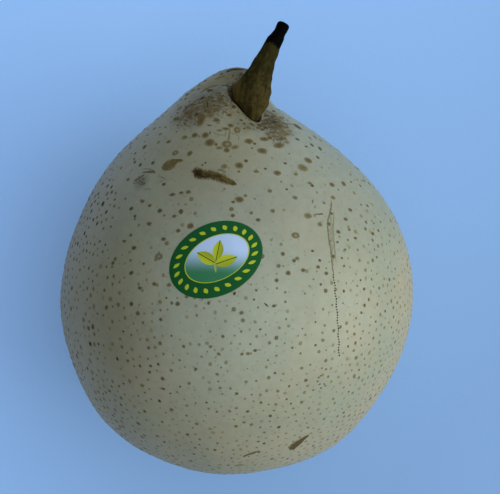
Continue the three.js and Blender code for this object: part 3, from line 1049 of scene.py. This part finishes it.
SPOTS = {
    DARK: (
        # the crown, left of the stem
        (196.9, 114, 4, 3, 0), (202.5, 98.1, 5, 3.5, 10), (207.5, 104.4, 8, 2.2, 85), (210, 90.3, 4, 3, 30),
        (234, 106.9, 5.5, 4, -10), (238.4, 112.2, 3, 1.6, -30), (241.3, 120.3, 4, 2.2, -10),
        (244.4, 123.8, 2.6, 2.2, 0), (252, 124.6, 7, 2.2, -35), (209.4, 125.3, 5, 1.6, 0),
        (210, 133.1, 4, 1.6, 85), (254.7, 143.8, 3.2, 2.6, 0), (246.2, 161, 4, 3, -10),
        # the crown, right of the stem
        (273.8, 111.2, 3.5, 2, 0), (266.3, 115.9, 5.5, 2.2, 0), (272.5, 116.9, 4, 2, -10),
        (274.4, 121.9, 9, 2.6, -8), (260, 125.6, 6, 3, -12), (265.9, 127.8, 3.2, 2.8, 0),
        (262.5, 129.7, 4.5, 2.4, 0), (297.8, 126.9, 7, 4, -18), (297.5, 139.4, 4.5, 2.2, -15),
        (311.9, 145, 4.5, 2.2, -25), (306.3, 146.6, 3, 2.2, 0), (320, 148.8, 4.5, 2.6, -35),
        (317.8, 157.5, 3.6, 2.6, -20), (285.3, 163.4, 3.2, 2.6, 0), (265.6, 168.8, 3.2, 2.2, 0),
        # the left shoulder
        (134.9, 162, 3.2, 2.4, 40), (140.4, 164.9, 4, 2.8, 35), (152.9, 162.9, 4.2, 3, 30),
        (128.1, 179.5, 3, 2.8, 0), (144.3, 183.2, 2.2, 2, 0), (164, 184.2, 4.2, 2.8, 10),
        (192.5, 171.5, 2.2, 2.2, 0), (205.5, 162.8, 2.4, 2, 0), (202.5, 165, 2.2, 2, 0),
        (160, 210.6, 5, 4.5, 0), (131.4, 208.6, 4.4, 3.8, 20), (135, 216.2, 3, 3, 0),
        (130.9, 235.1, 3, 3, 0), (143.7, 263.7, 3, 2.8, 0), (134, 247.9, 5, 4.5, 0),
        (131.4, 272.9, 5, 4, 20),
        # the belly
        (331.3, 213.5, 3.2, 3, 0), (274, 306, 4, 3, 0), (195.9, 368.9, 3.4, 3, 0), (255.2, 350.4, 4, 3, 0),
        (171.7, 409.7, 4, 3, 0), (259, 451.8, 3, 2.4, 0), (318.8, 377.5, 2, 1.8, 0),
        (320.8, 375.8, 1.8, 1.6, 0), (317.5, 381.2, 2, 1.8, 0), (319.2, 384.4, 1.8, 1.6, 0),
        (321, 388, 2, 1.8, 0), (324.3, 384, 2, 1.6, 0), (326.2, 369.2, 2.2, 2, 0), (312.6, 251, 3, 2.8, 0),
        (337.5, 242.2, 2.4, 2.2, 0), (345.2, 249.6, 2.2, 2.2, 0), (373.4, 223.2, 2.4, 2, 0),
        (354.4, 377.2, 2.2, 2, 0),
    ),
    BROWN: (
        # the crown, left of the stem
        (201.3, 120, 13.5, 7.5, 72), (205.9, 111, 5, 4, 0), (220.9, 99.4, 5, 4, 0),
        (229.4, 115, 5.5, 3.4, 0), (216.9, 120.3, 7.5, 4, 0), (230.9, 125.6, 6, 4, -5),
        (225.9, 128.8, 7, 3, -8), (227, 150.2, 6, 5, 0), (205.6, 135.3, 7, 6, 0), (195, 135.2, 6, 5, 0),
        (210, 142.7, 10, 7.5, 0), (215.8, 144.2, 4.5, 3.4, -40), (190, 153.4, 6, 4.6, 60),
        (249.2, 141.5, 8.5, 5.2, 0), (192, 104.7, 5, 3, 30), (175.6, 119, 6, 3, 30),
        # the crown, right of the stem
        (279.1, 126.4, 7, 5, 10), (264.4, 139.2, 8.5, 4.2, 0), (269.9, 138, 5, 4, 20),
        (281.3, 139.1, 5.5, 3, 0), (278.9, 145.7, 10, 5.8, 12), (262.4, 151, 10, 5.8, 0),
        (308.2, 160.5, 8, 4.8, -15), (277.6, 173.1, 7.5, 4.8, 0), (239.4, 165.6, 8.5, 6, 0),
        # the left shoulder
        (172.5, 194.6, 6.5, 3.4, 5), (181.4, 192.7, 4.4, 3, 0), (188.5, 192, 5.2, 3.8, 10),
        (190.6, 225.9, 7, 6, 0), (178.4, 230.8, 5, 4, 0), (163.6, 239, 5, 4, 0), (149.3, 223.7, 5, 4, 0),
        (149.8, 205.5, 4, 3.4, 0), (142.7, 201.4, 4, 3.2, 20), (154.4, 284, 4.5, 4, 0),
        (168.7, 141.7, 4.6, 3, 10), (144.7, 146.8, 5, 2.8, 60), (174.3, 216.2, 4.4, 3.4, 0),
        (124.3, 241.2, 4, 3, 0), (140, 288, 4.4, 3.6, 0), (233.3, 202, 4, 3, 0), (113, 263, 4, 3.4, 40),
        # the belly
        (239.5, 199.6, 9, 6, 0), (233, 215.6, 4.5, 4, 0), (258.2, 219.9, 5, 3.6, 0),
        (283, 254, 4.6, 4.2, 0), (276.8, 280.4, 4.2, 4, 0), (177.8, 303.9, 5, 4.6, 0),
        (208.9, 303, 3.4, 4, 0), (332, 184.8, 5, 4.4, 0), (343.6, 183.8, 5, 4, -20),
        (328.8, 224, 4.2, 4, 0), (333, 256.6, 4.6, 4.4, 0), (294.2, 260.7, 4.2, 4, 0),
        (288.3, 273, 5, 4.6, 0), (303.3, 270.2, 4.6, 4.2, 0), (318.2, 267, 4, 3.6, 0),
        (326.4, 273.4, 4, 3.6, 0), (350.2, 210, 4, 3.6, 0), (345.6, 219.2, 4, 3.6, 0),
        (338.4, 232, 4.4, 3.8, 0), (372.6, 233.6, 3.6, 4, 0), (349.2, 229.6, 3, 2.8, 0),
        (355.4, 238.2, 3.4, 3, 0),
    ),
    FLECK: (
        (188, 112, 7, 2, 35), (194, 108.5, 8, 2.2, 30), (199, 103, 6, 2, 25), (204, 107, 7, 2, 20),
        (198, 109.2, 6, 1.8, 30), (204, 101, 6, 1.8, 20), (209, 107.5, 5, 2, 10), (214, 105, 5, 2, 0),
        (215, 101, 5, 1.8, 0), (217.5, 105.5, 4, 2, 0), (213, 113, 5, 1.6, 0), (206, 115.5, 4, 2, 0),
        (200.5, 112.6, 5, 1.8, 30), (190, 117, 5, 1.8, 35), (184, 116, 5, 1.8, 40), (217, 110, 5, 1.8, 0),
        (221, 106.5, 4, 1.8, 0), (224.5, 103, 4, 1.8, 0), (226.5, 96.8, 4, 2, 0), (227.2, 109.4, 3, 1.8, 0),
        (222, 117.2, 3, 1.6, 0), (211.6, 97.5, 6, 2.2, 5), (208.5, 100.2, 6, 2, 15),
        (221.9, 101.9, 6, 2, 5), (223.1, 113.1, 4, 2, 75), (218.4, 123.1, 4, 2, 0),
        (229.2, 136, 7, 2.2, 88), (179.8, 108, 6, 2.4, 35), (219, 93.5, 4, 2, 0),
        (280.5, 118.8, 6, 1.6, -12), (277, 124.2, 7, 1.8, -8), (284.5, 123.8, 6, 1.8, -12),
        (291, 124.2, 5, 1.6, -18), (271, 126, 6, 1.8, 0), (275, 129.4, 7, 2, -5), (281.5, 130.4, 6, 2, -5),
        (264.5, 113, 4.5, 1.8, -35), (268, 115.6, 5, 1.8, -30), (272, 116.8, 5, 1.6, -25),
        (268, 124.2, 5, 1.8, -5), (264, 122, 4, 2, -10), (289.5, 130.6, 5, 1.8, -12), (272, 133, 6, 2, 0),
        (276, 137.2, 5, 2, 0), (284.5, 138, 5, 1.8, 0), (268, 133.6, 5, 2, 0), (292, 134.8, 4, 1.6, -15),
        (268.8, 121.3, 5.5, 2.2, 0), (286.3, 142.5, 5, 2.2, 0), (310, 138.4, 3.4, 2.2, -30),
        (315, 137.2, 4, 2.2, -30), (287.5, 120.3, 3, 1.4, -25), (158.5, 142.2, 4, 2.6, 30),
        (160.5, 134, 3.6, 2.6, 50), (210.6, 428.9, 4.4, 2.2, 0), (162, 388.7, 5.4, 2.2, -10),
        (239.3, 465.2, 10, 2, 8),
    ),
    OLIVE: (
        (210.9, 115, 8.5, 4, 0), (219.7, 130.4, 6.5, 2.4, 0), (219.4, 148, 7, 3, 0),
        (235, 147.3, 9, 4.4, 12), (248.8, 128.1, 6.5, 3, -20), (184.8, 137.3, 6, 4.2, 0),
        (224.6, 166.6, 6.5, 5, 0), (256.4, 171.6, 6, 3.4, 0), (286.3, 127.5, 5.5, 2.6, 0),
        (286.4, 134.3, 10, 4, 8), (283, 131.7, 7, 2.4, 4), (281.9, 117.8, 6.5, 2, -8),
        (295.9, 174.3, 4.6, 3, 0), (302.9, 168, 10.5, 6.4, -12), (245.6, 195.7, 4, 3, 0),
        (270, 191, 5, 4, 0), (273, 211, 5, 4.2, 0), (251.5, 213, 4, 3.4, 0), (295.3, 197.7, 5, 4, 0),
        (308.2, 215.9, 7.5, 6, 0), (320, 224.5, 5, 4.2, 0), (333, 197.7, 4.6, 4, 0),
        (310, 183.3, 4.2, 3.2, 0), (169.2, 285, 5, 4, 0), (278.8, 266, 4.4, 4, 0),
        (248.2, 353.6, 4.2, 3.2, 0), (142.3, 385.5, 4.2, 3.6, 0), (218.9, 354, 4, 3.4, 0),
        (210.6, 346.6, 3.6, 3.2, 0),
    ),
    RING: (
        (175.4, 152.9, 6.6, 4.6, 5), (227.2, 144.4, 10, 7.5, 0), (237.4, 130.2, 6.4, 6.4, 0),
        (211.9, 110.6, 9.5, 4, 0), (295.7, 235.5, 8, 6.4, 0), (159, 256.5, 8, 7, 0),
    ),
    SMUDGE: (
        (142.6, 184, 5, 2.4, 0), (141.4, 181.6, 6.5, 1.8, -25), (137.6, 182.2, 6, 1.5, -25),
        (143.2, 178.8, 4, 2.2, -10), (138.6, 179.4, 6, 1.4, -25), (134.4, 183.2, 4, 1.3, -20),
        (139.6, 176.8, 3.4, 1.3, -20),
    ),
    HAZE: (
        (148, 189, 8, 2.4, 0), (161.5, 181, 4, 2.4, 0),
    ),
}
MARK_HALF = 0.64  # of a mark's length and width, because it is seen a little inside its rim

# A scratch of small dots runs down the belly's right: columns and rows along it.
DOTTED_LINE = ((333.5, 274.7), (335.6, 295), (337.4, 317.8), (338.6, 338), (339, 356))
DOT_PITCH = 2.7

SCARS = (  # strength, roughness in millimetres, fraying of the upper edge, then column, row, width and tone
    (1, 0.2, 0.9, (
        (193.2, 171.6, 4, 0.1), (195.6, 171.8, 11, 0.14), (200.5, 173.2, 12.5, 0.13),
        (204, 174, 10.5, 0.16), (211, 174.4, 10, 0.2), (217, 175.8, 10, 0.24), (222, 177.8, 10.5, 0.26),
        (228, 180.6, 8.5, 0.4), (233, 183, 6, 0.3), (237, 184.8, 2, 0.3),
    )),
    (0.6, 0.03, 0.6, ((217.5, 169.5, 2, 0.3), (222, 170.2, 3.4, 0.4), (226.5, 172.6, 2.6, 0.5))),
    (0.95, 0.22, 0, (
        (162.6, 169.4, 3, 0.45), (166, 167.2, 8, 0.47), (171.5, 164.2, 9.6, 0.5), (175.4, 161.9, 6.5, 0.45),
        (177.6, 160.8, 3.6, 0.45), (180, 160.5, 3.4, 0.42), (183.4, 160.6, 2.6, 0.5),
    )),
    (0.8, 0.03, 0.5, ((133.8, 181.4, 1.2, 0.3), (139, 177.8, 2.2, 0.25), (144.4, 174.8, 1.2, 0.3))),
    (0.75, 0.03, 0.5, (
        (142, 172.4, 1.6, 0.4), (149, 171.8, 2.6, 0.2), (153.5, 171.6, 4.2, 0.15), (155, 173.4, 2, 0.3),
    )),
    (0.5, 0.02, 0, ((141, 169.2, 1.2, 0.5), (147, 168.8, 1.6, 0.4), (152, 169.4, 1.2, 0.5))),
    (0.45, 0.02, 0, ((157.5, 175.6, 1.2, 0.4), (162, 177.2, 1.8, 0.4), (166.5, 180, 1.4, 0.4))),
    (0.95, 0.22, 0, (
        (289.2, 448.8, 4.5, 0.3), (293.5, 446, 6, 0.25), (299.5, 441.6, 4.6, 0.28),
        (308.6, 434.8, 1.6, 0.3),
    )),
    (0.8, 0.03, 0, ((243, 456.6, 1.8, 0.2), (251, 453.6, 2.4, 0.2), (260, 451, 2.2, 0.2))),
    (0.8, 0.03, 0, ((313.6, 214.4, 1.2, 0.3), (319, 214.2, 1.8, 0.3), (323.4, 213.8, 2.6, 0.3))),
    (0.7, 0.03, 0, ((313, 199, 1.6, 0.35), (312.4, 203.6, 1.8, 0.35))),
    (0.7, 0.03, 0, ((315.2, 205.4, 1.4, 0.35), (314.6, 208.4, 1.8, 0.35))),
    (0.9, 0.03, 0, ((264.2, 303, 1, 0.05), (266.5, 305, 1.9, 0.05), (268.7, 307, 1.1, 0.1))),
    (0.6, 0.02, 0, ((256, 350.2, 1.4, 0.3), (261.6, 349.6, 1.2, 0.3))),
    (0.7, 0.03, 0, (
        (229.4, 127.5, 2, 0.6), (229.9, 134, 2.8, 0.6), (228.5, 139.5, 2.4, 0.6), (226.8, 151, 2, 0.6),
    )),
    # painted shade: a dark strip along the crease in front of the lobe, where the crease is in shadow
    (0.9, 0.02, 0, ((221, 85.2, 1, 0.15), (227, 85.6, 1.6, 0.15), (230.5, 86.8, 1.6, 0.15))),
    (0.85, 0.02, 0, (
        (225.5, 72.2, 1.6, 0.1), (229.5, 70.6, 3, 0), (234, 69.5, 3, 0), (239, 69.2, 2.8, 0.1),
        (244, 69.8, 2.6, 0.1),
    )),
    (0.6, 0.02, 0, ((214, 80, 1.4, 0.5), (220, 77.2, 2.2, 0.45), (225, 76, 1.4, 0.5))),
    (0.7, 0.02, 0, (
        (200, 93, 1.4, 0.5), (207, 88.5, 2.4, 0.4), (213.5, 86, 1.8, 0.5), (219, 85, 1.2, 0.5),
    )),
    (0.7, 0.03, 0.3, (
        (182, 112.6, 1.4, 0.45), (188, 106.4, 2.6, 0.35), (194, 101.8, 2, 0.4), (200, 98.8, 1.4, 0.45),
    )),
    (0.7, 0.03, 0.3, (
        (186, 117.6, 1.4, 0.45), (192, 111.8, 2.4, 0.4), (199, 106.8, 2.4, 0.4), (206, 104.4, 1.6, 0.45),
    )),
    (0.7, 0.03, 0.3, (
        (259.5, 121.5, 2.6, 0.2), (266.5, 119.6, 2.4, 0.25), (274, 118.8, 1.8, 0.35),
        (281, 120.4, 1.2, 0.4),
    )),
    (0.8, 0.03, 0.3, (
        (258.5, 124.5, 3, 0.15), (265, 123.6, 2.8, 0.25), (272.5, 122.6, 2.2, 0.3), (279, 123.6, 1.4, 0.4),
    )),
    (0.75, 0.03, 0.3, (
        (256, 127.5, 2.4, 0.3), (262.5, 128, 3, 0.3), (270, 127.4, 2.2, 0.3), (277, 128, 1.6, 0.4),
    )),
    (0.6, 0.03, 0.3, ((266, 110.5, 1.4, 0.3), (271, 113, 2.2, 0.3), (276.5, 116.6, 1.6, 0.35))),
    (0.5, 0.02, 0, ((221.5, 126, 1.6, 0.6), (226, 131.6, 2, 0.6), (224.6, 137, 1.6, 0.6))),
    (0.5, 0.02, 0, ((235, 133, 1.4, 0.6), (239, 137.4, 1.8, 0.6), (237.5, 142, 1.4, 0.6))),
    (0.5, 0.02, 0, ((213, 132, 1.4, 0.6), (219.5, 135, 1.8, 0.6), (227, 134.8, 1.4, 0.6))),
    (0.38, 0.01, 0, (
        (331.6, 196, 2, 0.62), (331, 204, 4, 0.62), (330.6, 214, 6, 0.62), (331, 232, 7, 0.62),
        (332.5, 252, 5.5, 0.62), (333.6, 268, 2, 0.62),
    )),
    (0.7, 0.03, 0, (
        (331.6, 202, 1.6, 0.5), (330.4, 211, 2.2, 0.35), (327.8, 222, 1.8, 0.4), (328.8, 237.4, 1.8, 0.4),
        (331.1, 252.7, 2, 0.4), (332.2, 266, 1.6, 0.35), (333.6, 274, 1.2, 0.3),
    )),
    (0.5, 0.03, 0, (
        (333.8, 212, 1.2, 0.55), (333.2, 231.7, 2, 0.55), (334.5, 247, 2, 0.55), (336.2, 263, 1, 0.5),
    )),
)
SCAR_HALF = 0.62  # of its width
SCAR_UNDER = (0.6, 0.0, -0.6)  # the columns of its underside


def view_point():
    """Where the camera stands, in the row frame."""
    return (Vector(CENTRE) + Vector(CAMERA)) * MM


def skin_surface():
    """The skin as a tree that rays are cast at."""
    mesh = bpy.data.objects["fruit_skin"].data
    corners = [vertex.co for vertex in mesh.vertices]
    return BVHTree.FromPolygons(corners, [face.vertices for face in mesh.polygons])


def seen(surface, column, row):
    """Where the skin is seen at a column and a row of the view, and its normal there."""
    ray = Vector(((column - IMAGE_WIDTH / 2) * PIXEL, (IMAGE_HEIGHT / 2 - row) * PIXEL, -CAMERA[2]))
    return surface.ray_cast(view_point(), ray)[:2]


def on_skin(spot, normal, column_step, row_step):
    """A step in the view, in pixels, as a step on the skin, in metres."""
    ray = spot - view_point()
    step = Vector((column_step, -row_step, 0)) * PIXEL * -ray.z / CAMERA[2]
    return step - ray * (step.dot(normal) / ray.dot(normal))


def marks_mesh(marks):
    """A point for each mark, with its size, heading and look."""
    surface = skin_surface()
    spots, sizes, headings = [], [], []
    for column, row, long, wide, turn, _ in marks:
        spot, normal = seen(surface, column, row)
        right, up = cos(radians(turn)), sin(radians(turn))
        long, wide = long * MARK_HALF, wide * MARK_HALF
        length = on_skin(spot, normal, right * long, -up * long)
        width = on_skin(spot, normal, up * wide, right * wide)
        heading = length.normalized()
        across = (width - heading * width.dot(heading)).length
        spots.append(spot)
        sizes.append((length.length, across, min(length.length, across)))
        headings.append(heading)
    mesh = bpy.data.meshes.new("marks")
    mesh.from_pydata(spots, [], [])
    store(mesh, "size", sizes, "FLOAT_VECTOR")
    store(mesh, "heading", headings, "FLOAT_VECTOR")
    for i, name in enumerate(("tone", "strength", "ring")):
        store(mesh, name, [look[i] for *_, look in marks])
    return mesh


class PEAR_OT_spots(Operator):
    """Lays the larger spots and the dotted scratch where they stand in the view"""

    bl_idname = "pear.spots"
    bl_label = "Spots"

    def execute(self, context):
        marks = [(*spot, look) for look, spots in SPOTS.items() for spot in spots]
        line = smooth_line(DOTTED_LINE)
        dots = along_line(line, np.arange(0, 1, DOT_PITCH / line_length(line)))
        for i, (column, row) in enumerate(dots):
            marks.append((column + 0.4 * sin(5.1 * i), row, 1.8 + 0.5 * sin(2.3 * i), 1.4, 90, SCRATCH))
        grow_blisters("russet_spots", marks_mesh(marks), spots_tree(), SPOT_BLANK, Rise=SPOT_RISE)
        return {"FINISHED"}


def scar_point(spot, side, along, end, rough, fray, seed):
    """How far inside a scar a point is, how much lighter than its spine, and how far off the skin."""
    inside = (1 - abs(side)) * (0.35 + 0.65 * end)
    upper = fray * max(0, -side)
    strands = noise.noise(Vector((along / 6, side * 4, seed)))
    inside *= 1 - upper * (0.75 + 0.5 * strands)
    inside = max(0, inside + min(1, 4 * inside) * 0.22 * noise.noise(spot / MM / 0.4))
    bumps = noise.noise(spot / MM / 0.55 + Vector((seed, 0, 0)))
    lift = rough * (0.6 + 0.6 * bumps) * min(1, 3 * inside) - 0.02 * (1 - inside)
    return inside, 0.5 * upper + 0.3 * fray * strands, lift


def scar_strip(surface, rough, fray, spine, seed):
    """A low ridge of cork along its spine: closed rings of points, with how far inside and the tone."""
    line = smooth_line(spine, 12)
    length = line_length(line[:, :2])
    share = np.linspace(0, 1, max(9, int(2.2 * length)))
    stations = along_line(line, share)
    rings = []
    for (column, row, width, tone), (ahead, down), along in zip(
        stations, directions(stations[:, :2]), share * length
    ):
        half = SCAR_HALF * width
        end = min(1, along / half, (length - along) / half)
        ring = []
        for side in (*np.linspace(-1, 1, SCAR_COLUMNS), *SCAR_UNDER):
            spot, normal = seen(surface, column - down * half * side, row + ahead * half * side)
            inside, lighter, lift = 0, 0, -0.15
            if len(ring) < SCAR_COLUMNS:
                inside, lighter, lift = scar_point(spot, side, along, end, rough, fray, seed)
            ring.append((*(spot + normal * lift * MM), inside, tone + lighter))
        rings.append(ring)
    return np.array(rings)


class PEAR_OT_scars(Operator):
    """Lays the scars, scratches and streaks on the skin"""

    bl_idname = "pear.scars"
    bl_label = "Scars"

    def execute(self, context):
        surface = skin_surface()
        parts = []
        for number, (strength, rough, fray, spine) in enumerate(SCARS):
            strip = scar_strip(surface, rough, fray, spine, 3.7 * number)
            rings, blots, tones = strip[..., :3], strip[..., 3], strip[..., 4]
            mesh = closed_mesh("scar", rings, rings[0].mean(0), rings[-1].mean(0))
            store(mesh, "blot", [0, *blots.ravel(), 0])
            store(mesh, "tone", [tones[0, 0], *tones.ravel(), tones[-1, 0]])
            store(mesh, "strength", np.full(len(mesh.vertices), strength))
            columns = len(rings[0])
            rim = [(v - 1) % columns in (0, SCAR_COLUMNS - 1) for v in range(len(mesh.vertices))]
            sharpen(mesh, [all(rim[v] for v in edge.vertices) for edge in mesh.edges])
            parts.append(link("scar", mesh))
        with bpy.context.temp_override(active_object=parts[0], selected_editable_objects=parts):
            bpy.ops.object.join()
        mesh = parts[0].data
        bpy.data.objects.remove(parts[0])
        mesh.name = "skin_scars"
        finish_piece("skin_scars", mesh, cork())
        return {"FINISHED"}


# ---- stem ----

# the hollow of the cut: share of the tip's radius, and how far out
STEM_CUT = ((0.8, -0.03), (0.6, -0.14), (0.35, -0.3), (0.15, -0.36))


class PEAR_OT_stem(Operator):
    """Makes the woody stem, from its foot in the fruit to its hollow cut tip"""

    bl_idname = "pear.stem"
    bl_label = "Stem"

    def execute(self, context):
        settings = context.scene.pear_stem
        posts, forward, right, front, from_tip = stem_frames()
        around = np.arange(STEM_SEGMENTS) * 2 * pi / STEM_SEGMENTS
        aside = right[:, None] * np.sin(around)[:, None] + front[:, None] * np.cos(around)[:, None]
        down = from_tip[:, None] + 0 * around
        radius = stem_radius(down, around)
        bark = np.stack([np.sin(around) * radius, down, np.cos(around) * radius], axis=-1)

        # ridges run along the stem, wrinkles lie everywhere, and the rim of the cut is rounded
        ridges = 0.65 * np.cos(6 * around + 0.5 * np.sin(0.4 * down) + 1) * smoothstep(down, 2, 8)
        wrinkles = 0.8 * noise_at(bark, 1.3) + 0.35 * noise_at(bark, 0.6, 4.0)
        radius = radius + settings.groove / MM * (ridges + wrinkles)
        radius = radius * (1 - 0.13 * (1 - smoothstep(down, 0, 0.4)))
        rings = posts[:, None] + aside * radius[..., None]

        # the cut, whose rings go in towards the middle
        tip, rim = posts[-1], aside[-1] * radius[-1][:, None]
        cut = []
        for share, push in STEM_CUT:
            frayed = push + 0.1 * noise_at(aside[-1] * share, 0.5)[:, None]
            cut.append(tip + forward[-1] * frayed + rim * share)
        rings = np.concatenate([rings, cut])
        end = tip + forward[-1] * STEM_CUT[-1][1]
        mesh = closed_mesh("stem_bark", to_row(rings), to_row(posts[0]), to_row(end))
        in_bark = np.concatenate([bark, [rim * share for share, _ in STEM_CUT]]).reshape(-1, 3)
        store(mesh, "bark", [bark[0].mean(0), *in_bark, (0, 0, 0)], "FLOAT_VECTOR")
        finish_piece("stem_bark", mesh, bark_material(settings), "stem")
        return {"FINISHED"}


# ---- sticker ----

LABEL_RINGS = (  # share of the way out and share of the thickness, over the top, round the rim and back
    *((share, 1.0) for share in np.linspace(0.04, 0.97, 24)),
    *((0.985, 0.92), (0.996, 0.7), (1.0, 0.4), (0.998, 0.06)),
    *((share, 0.0) for share in (0.99, 0.8, 0.55, 0.3, 0.1)),
)


class PEAR_OT_sticker(Operator):
    """Presses the oval sticker onto the skin"""

    bl_idname = "pear.sticker"
    bl_label = "Sticker"

    def execute(self, context):
        settings = context.scene.pear_label
        surface = skin_surface()
        turn = Matrix(TURN.tolist())
        above = Vector(to_row(np.array((LABEL_ACROSS, LABEL_UP, 100.0))))
        middle, out = surface.ray_cast(above, turn @ Vector((0, 0, -1)))[:2]
        along = turn @ Vector((cos(LABEL_TURN), sin(LABEL_TURN), 0))
        along = (along - out * along.dot(out)).normalized()
        across = out.cross(along)

        angles = np.arange(LABEL_SEGMENTS) * 2 * pi / LABEL_SEGMENTS
        oval = np.stack([settings.long / 2 * np.cos(angles), settings.wide / 2 * np.sin(angles)], axis=-1)
        rings, prints = [], []
        for share, lift in LABEL_RINGS:
            ring = []
            for right, up in oval * share:
                start = middle + along * right + across * up + out * 5 * MM
                spot, normal = surface.ray_cast(start, -out)[:2]
                ring.append(spot + normal * (LABEL_GAP * MM + lift * settings.thickness))
            rings.append(ring)
            prints.append(oval * share / MM)
        under = middle + out * LABEL_GAP * MM
        mesh = closed_mesh("sticker", np.array(rings), under + out * settings.thickness, under)
        flat = np.concatenate([[(0, 0)], *prints, [(0, 0)]])
        corners = np.empty(len(mesh.loops), np.int32)
        mesh.loops.foreach_get("vertex_index", corners)
        mesh.uv_layers.new(name="print").data.foreach_set("uv", flat[corners].ravel())
        finish_piece("sticker", mesh, label_material(settings), "label")
        return {"FINISHED"}


# ---- stage ----

BOARD_HALF = 1.6  # these three in metres
WINDOW_PLACE = (0.71, -0.12, 0.24)
WINDOW_SIZE = (0.5, 0.36)


def soft_room(settings):
    """White light from above, brighter to the right, and a tinted bounce from below."""
    world = bpy.data.worlds.new("soft_room")
    world.use_nodes = True
    tree = world.node_tree
    tree.nodes.clear()
    way = add(tree, "TexCoord", output="Generated")
    right, rise = (add(tree, "SeparateXYZ", (way,), output=i) for i in (0, 2))
    lean = settings.lean * settings.sky
    strength = add(tree, "Math", (right, lean, settings.sky), operation="MULTIPLY_ADD")
    white = add(tree, "VectorMath", {0: (1, 1, 1), 3: strength}, operation="SCALE")
    above = add(tree, "MapRange", (rise, -0.1, 0.1, 0.0, 1.0))
    glow = add(tree, "Mix", {0: above, 6: settings.bounce, 7: white}, 2, **COLOURS)
    light = add(tree, "Background", {"Color": glow, "Strength": 1.0})
    add(tree, "OutputWorld", {"Surface": light})
    return world


class PEAR_OT_stage(Operator):
    """Lays the pale board, hangs the soft lights and sets the camera over the pear"""

    bl_idname = "pear.stage"
    bl_label = "Stage"

    def execute(self, context):
        settings = context.scene.pear_stage
        scene = context.scene
        mesh = bpy.data.meshes.new("board")
        corners = [(x * BOARD_HALF, y * BOARD_HALF, 0) for x, y in ((-1, -1), (1, -1), (1, 1), (-1, 1))]
        mesh.from_pydata(corners, [], [(0, 1, 2, 3)])
        mesh.materials.append(board_material(settings))
        board = link("board", mesh)
        # the room's plain bounce stands for the board's, which would tint the fruit
        board.visible_diffuse = False
        scene.world = soft_room(settings)

        light = bpy.data.lights.new("window", "AREA")
        light.shape = "RECTANGLE"
        light.size, light.size_y = WINDOW_SIZE
        light.energy = settings.window
        light.color = settings.pane[:3]
        window = link("window", light)
        window.location = WINDOW_PLACE
        window.rotation_euler = (Vector(CENTRE) * MM - window.location).to_track_quat("-Z", "Y").to_euler()

        camera = link("camera", bpy.data.cameras.new("camera"))
        camera.data.sensor_width = SENSOR
        camera.data.lens = SENSOR * CAMERA[2] / (IMAGE_WIDTH * PIXEL)
        camera.location = view_point()
        scene.camera = camera
        scene.view_settings.view_transform = "Standard"
        return {"FINISHED"}


PIECES = {  # each group of settings, and the operators that it drives
    "pear_fruit": (FruitSettings, PEAR_OT_fruit),
    "pear_pores": (PoreSettings, PEAR_OT_pores, PEAR_OT_spots, PEAR_OT_scars),
    "pear_stem": (StemSettings, PEAR_OT_stem),
    "pear_label": (LabelSettings, PEAR_OT_sticker),
    "pear_stage": (StageSettings, PEAR_OT_stage),
}


class PEAR_PT_tools(Panel):
    """Lists the operators in the order they run, with their settings"""

    bl_idname = "PEAR_PT_tools"
    bl_label = "Pear"
    bl_space_type = "VIEW_3D"
    bl_region_type = "UI"
    bl_category = "Pear"

    def draw(self, context):
        for group, (settings, *operators) in PIECES.items():
            box = self.layout.box()
            for operator in operators:
                box.operator(operator.bl_idname)
            for name in settings.__annotations__:
                box.prop(getattr(context.scene, group), name)


CLASSES = (*(cls for classes in PIECES.values() for cls in classes), PEAR_PT_tools)


def register():
    for cls in CLASSES:
        bpy.utils.register_class(cls)
    for group, (settings, *_) in PIECES.items():
        setattr(bpy.types.Scene, group, PointerProperty(type=settings))


def unregister():
    for group in PIECES:
        delattr(bpy.types.Scene, group)
    for cls in reversed(CLASSES):
        bpy.utils.unregister_class(cls)


def main():
    register()
    bpy.ops.pear.fruit()
    bpy.ops.pear.pores()
    bpy.ops.pear.spots()
    bpy.ops.pear.scars()
    bpy.ops.pear.stem()
    bpy.ops.pear.sticker()
    bpy.ops.pear.stage()


if __name__ == "__main__":
    main()
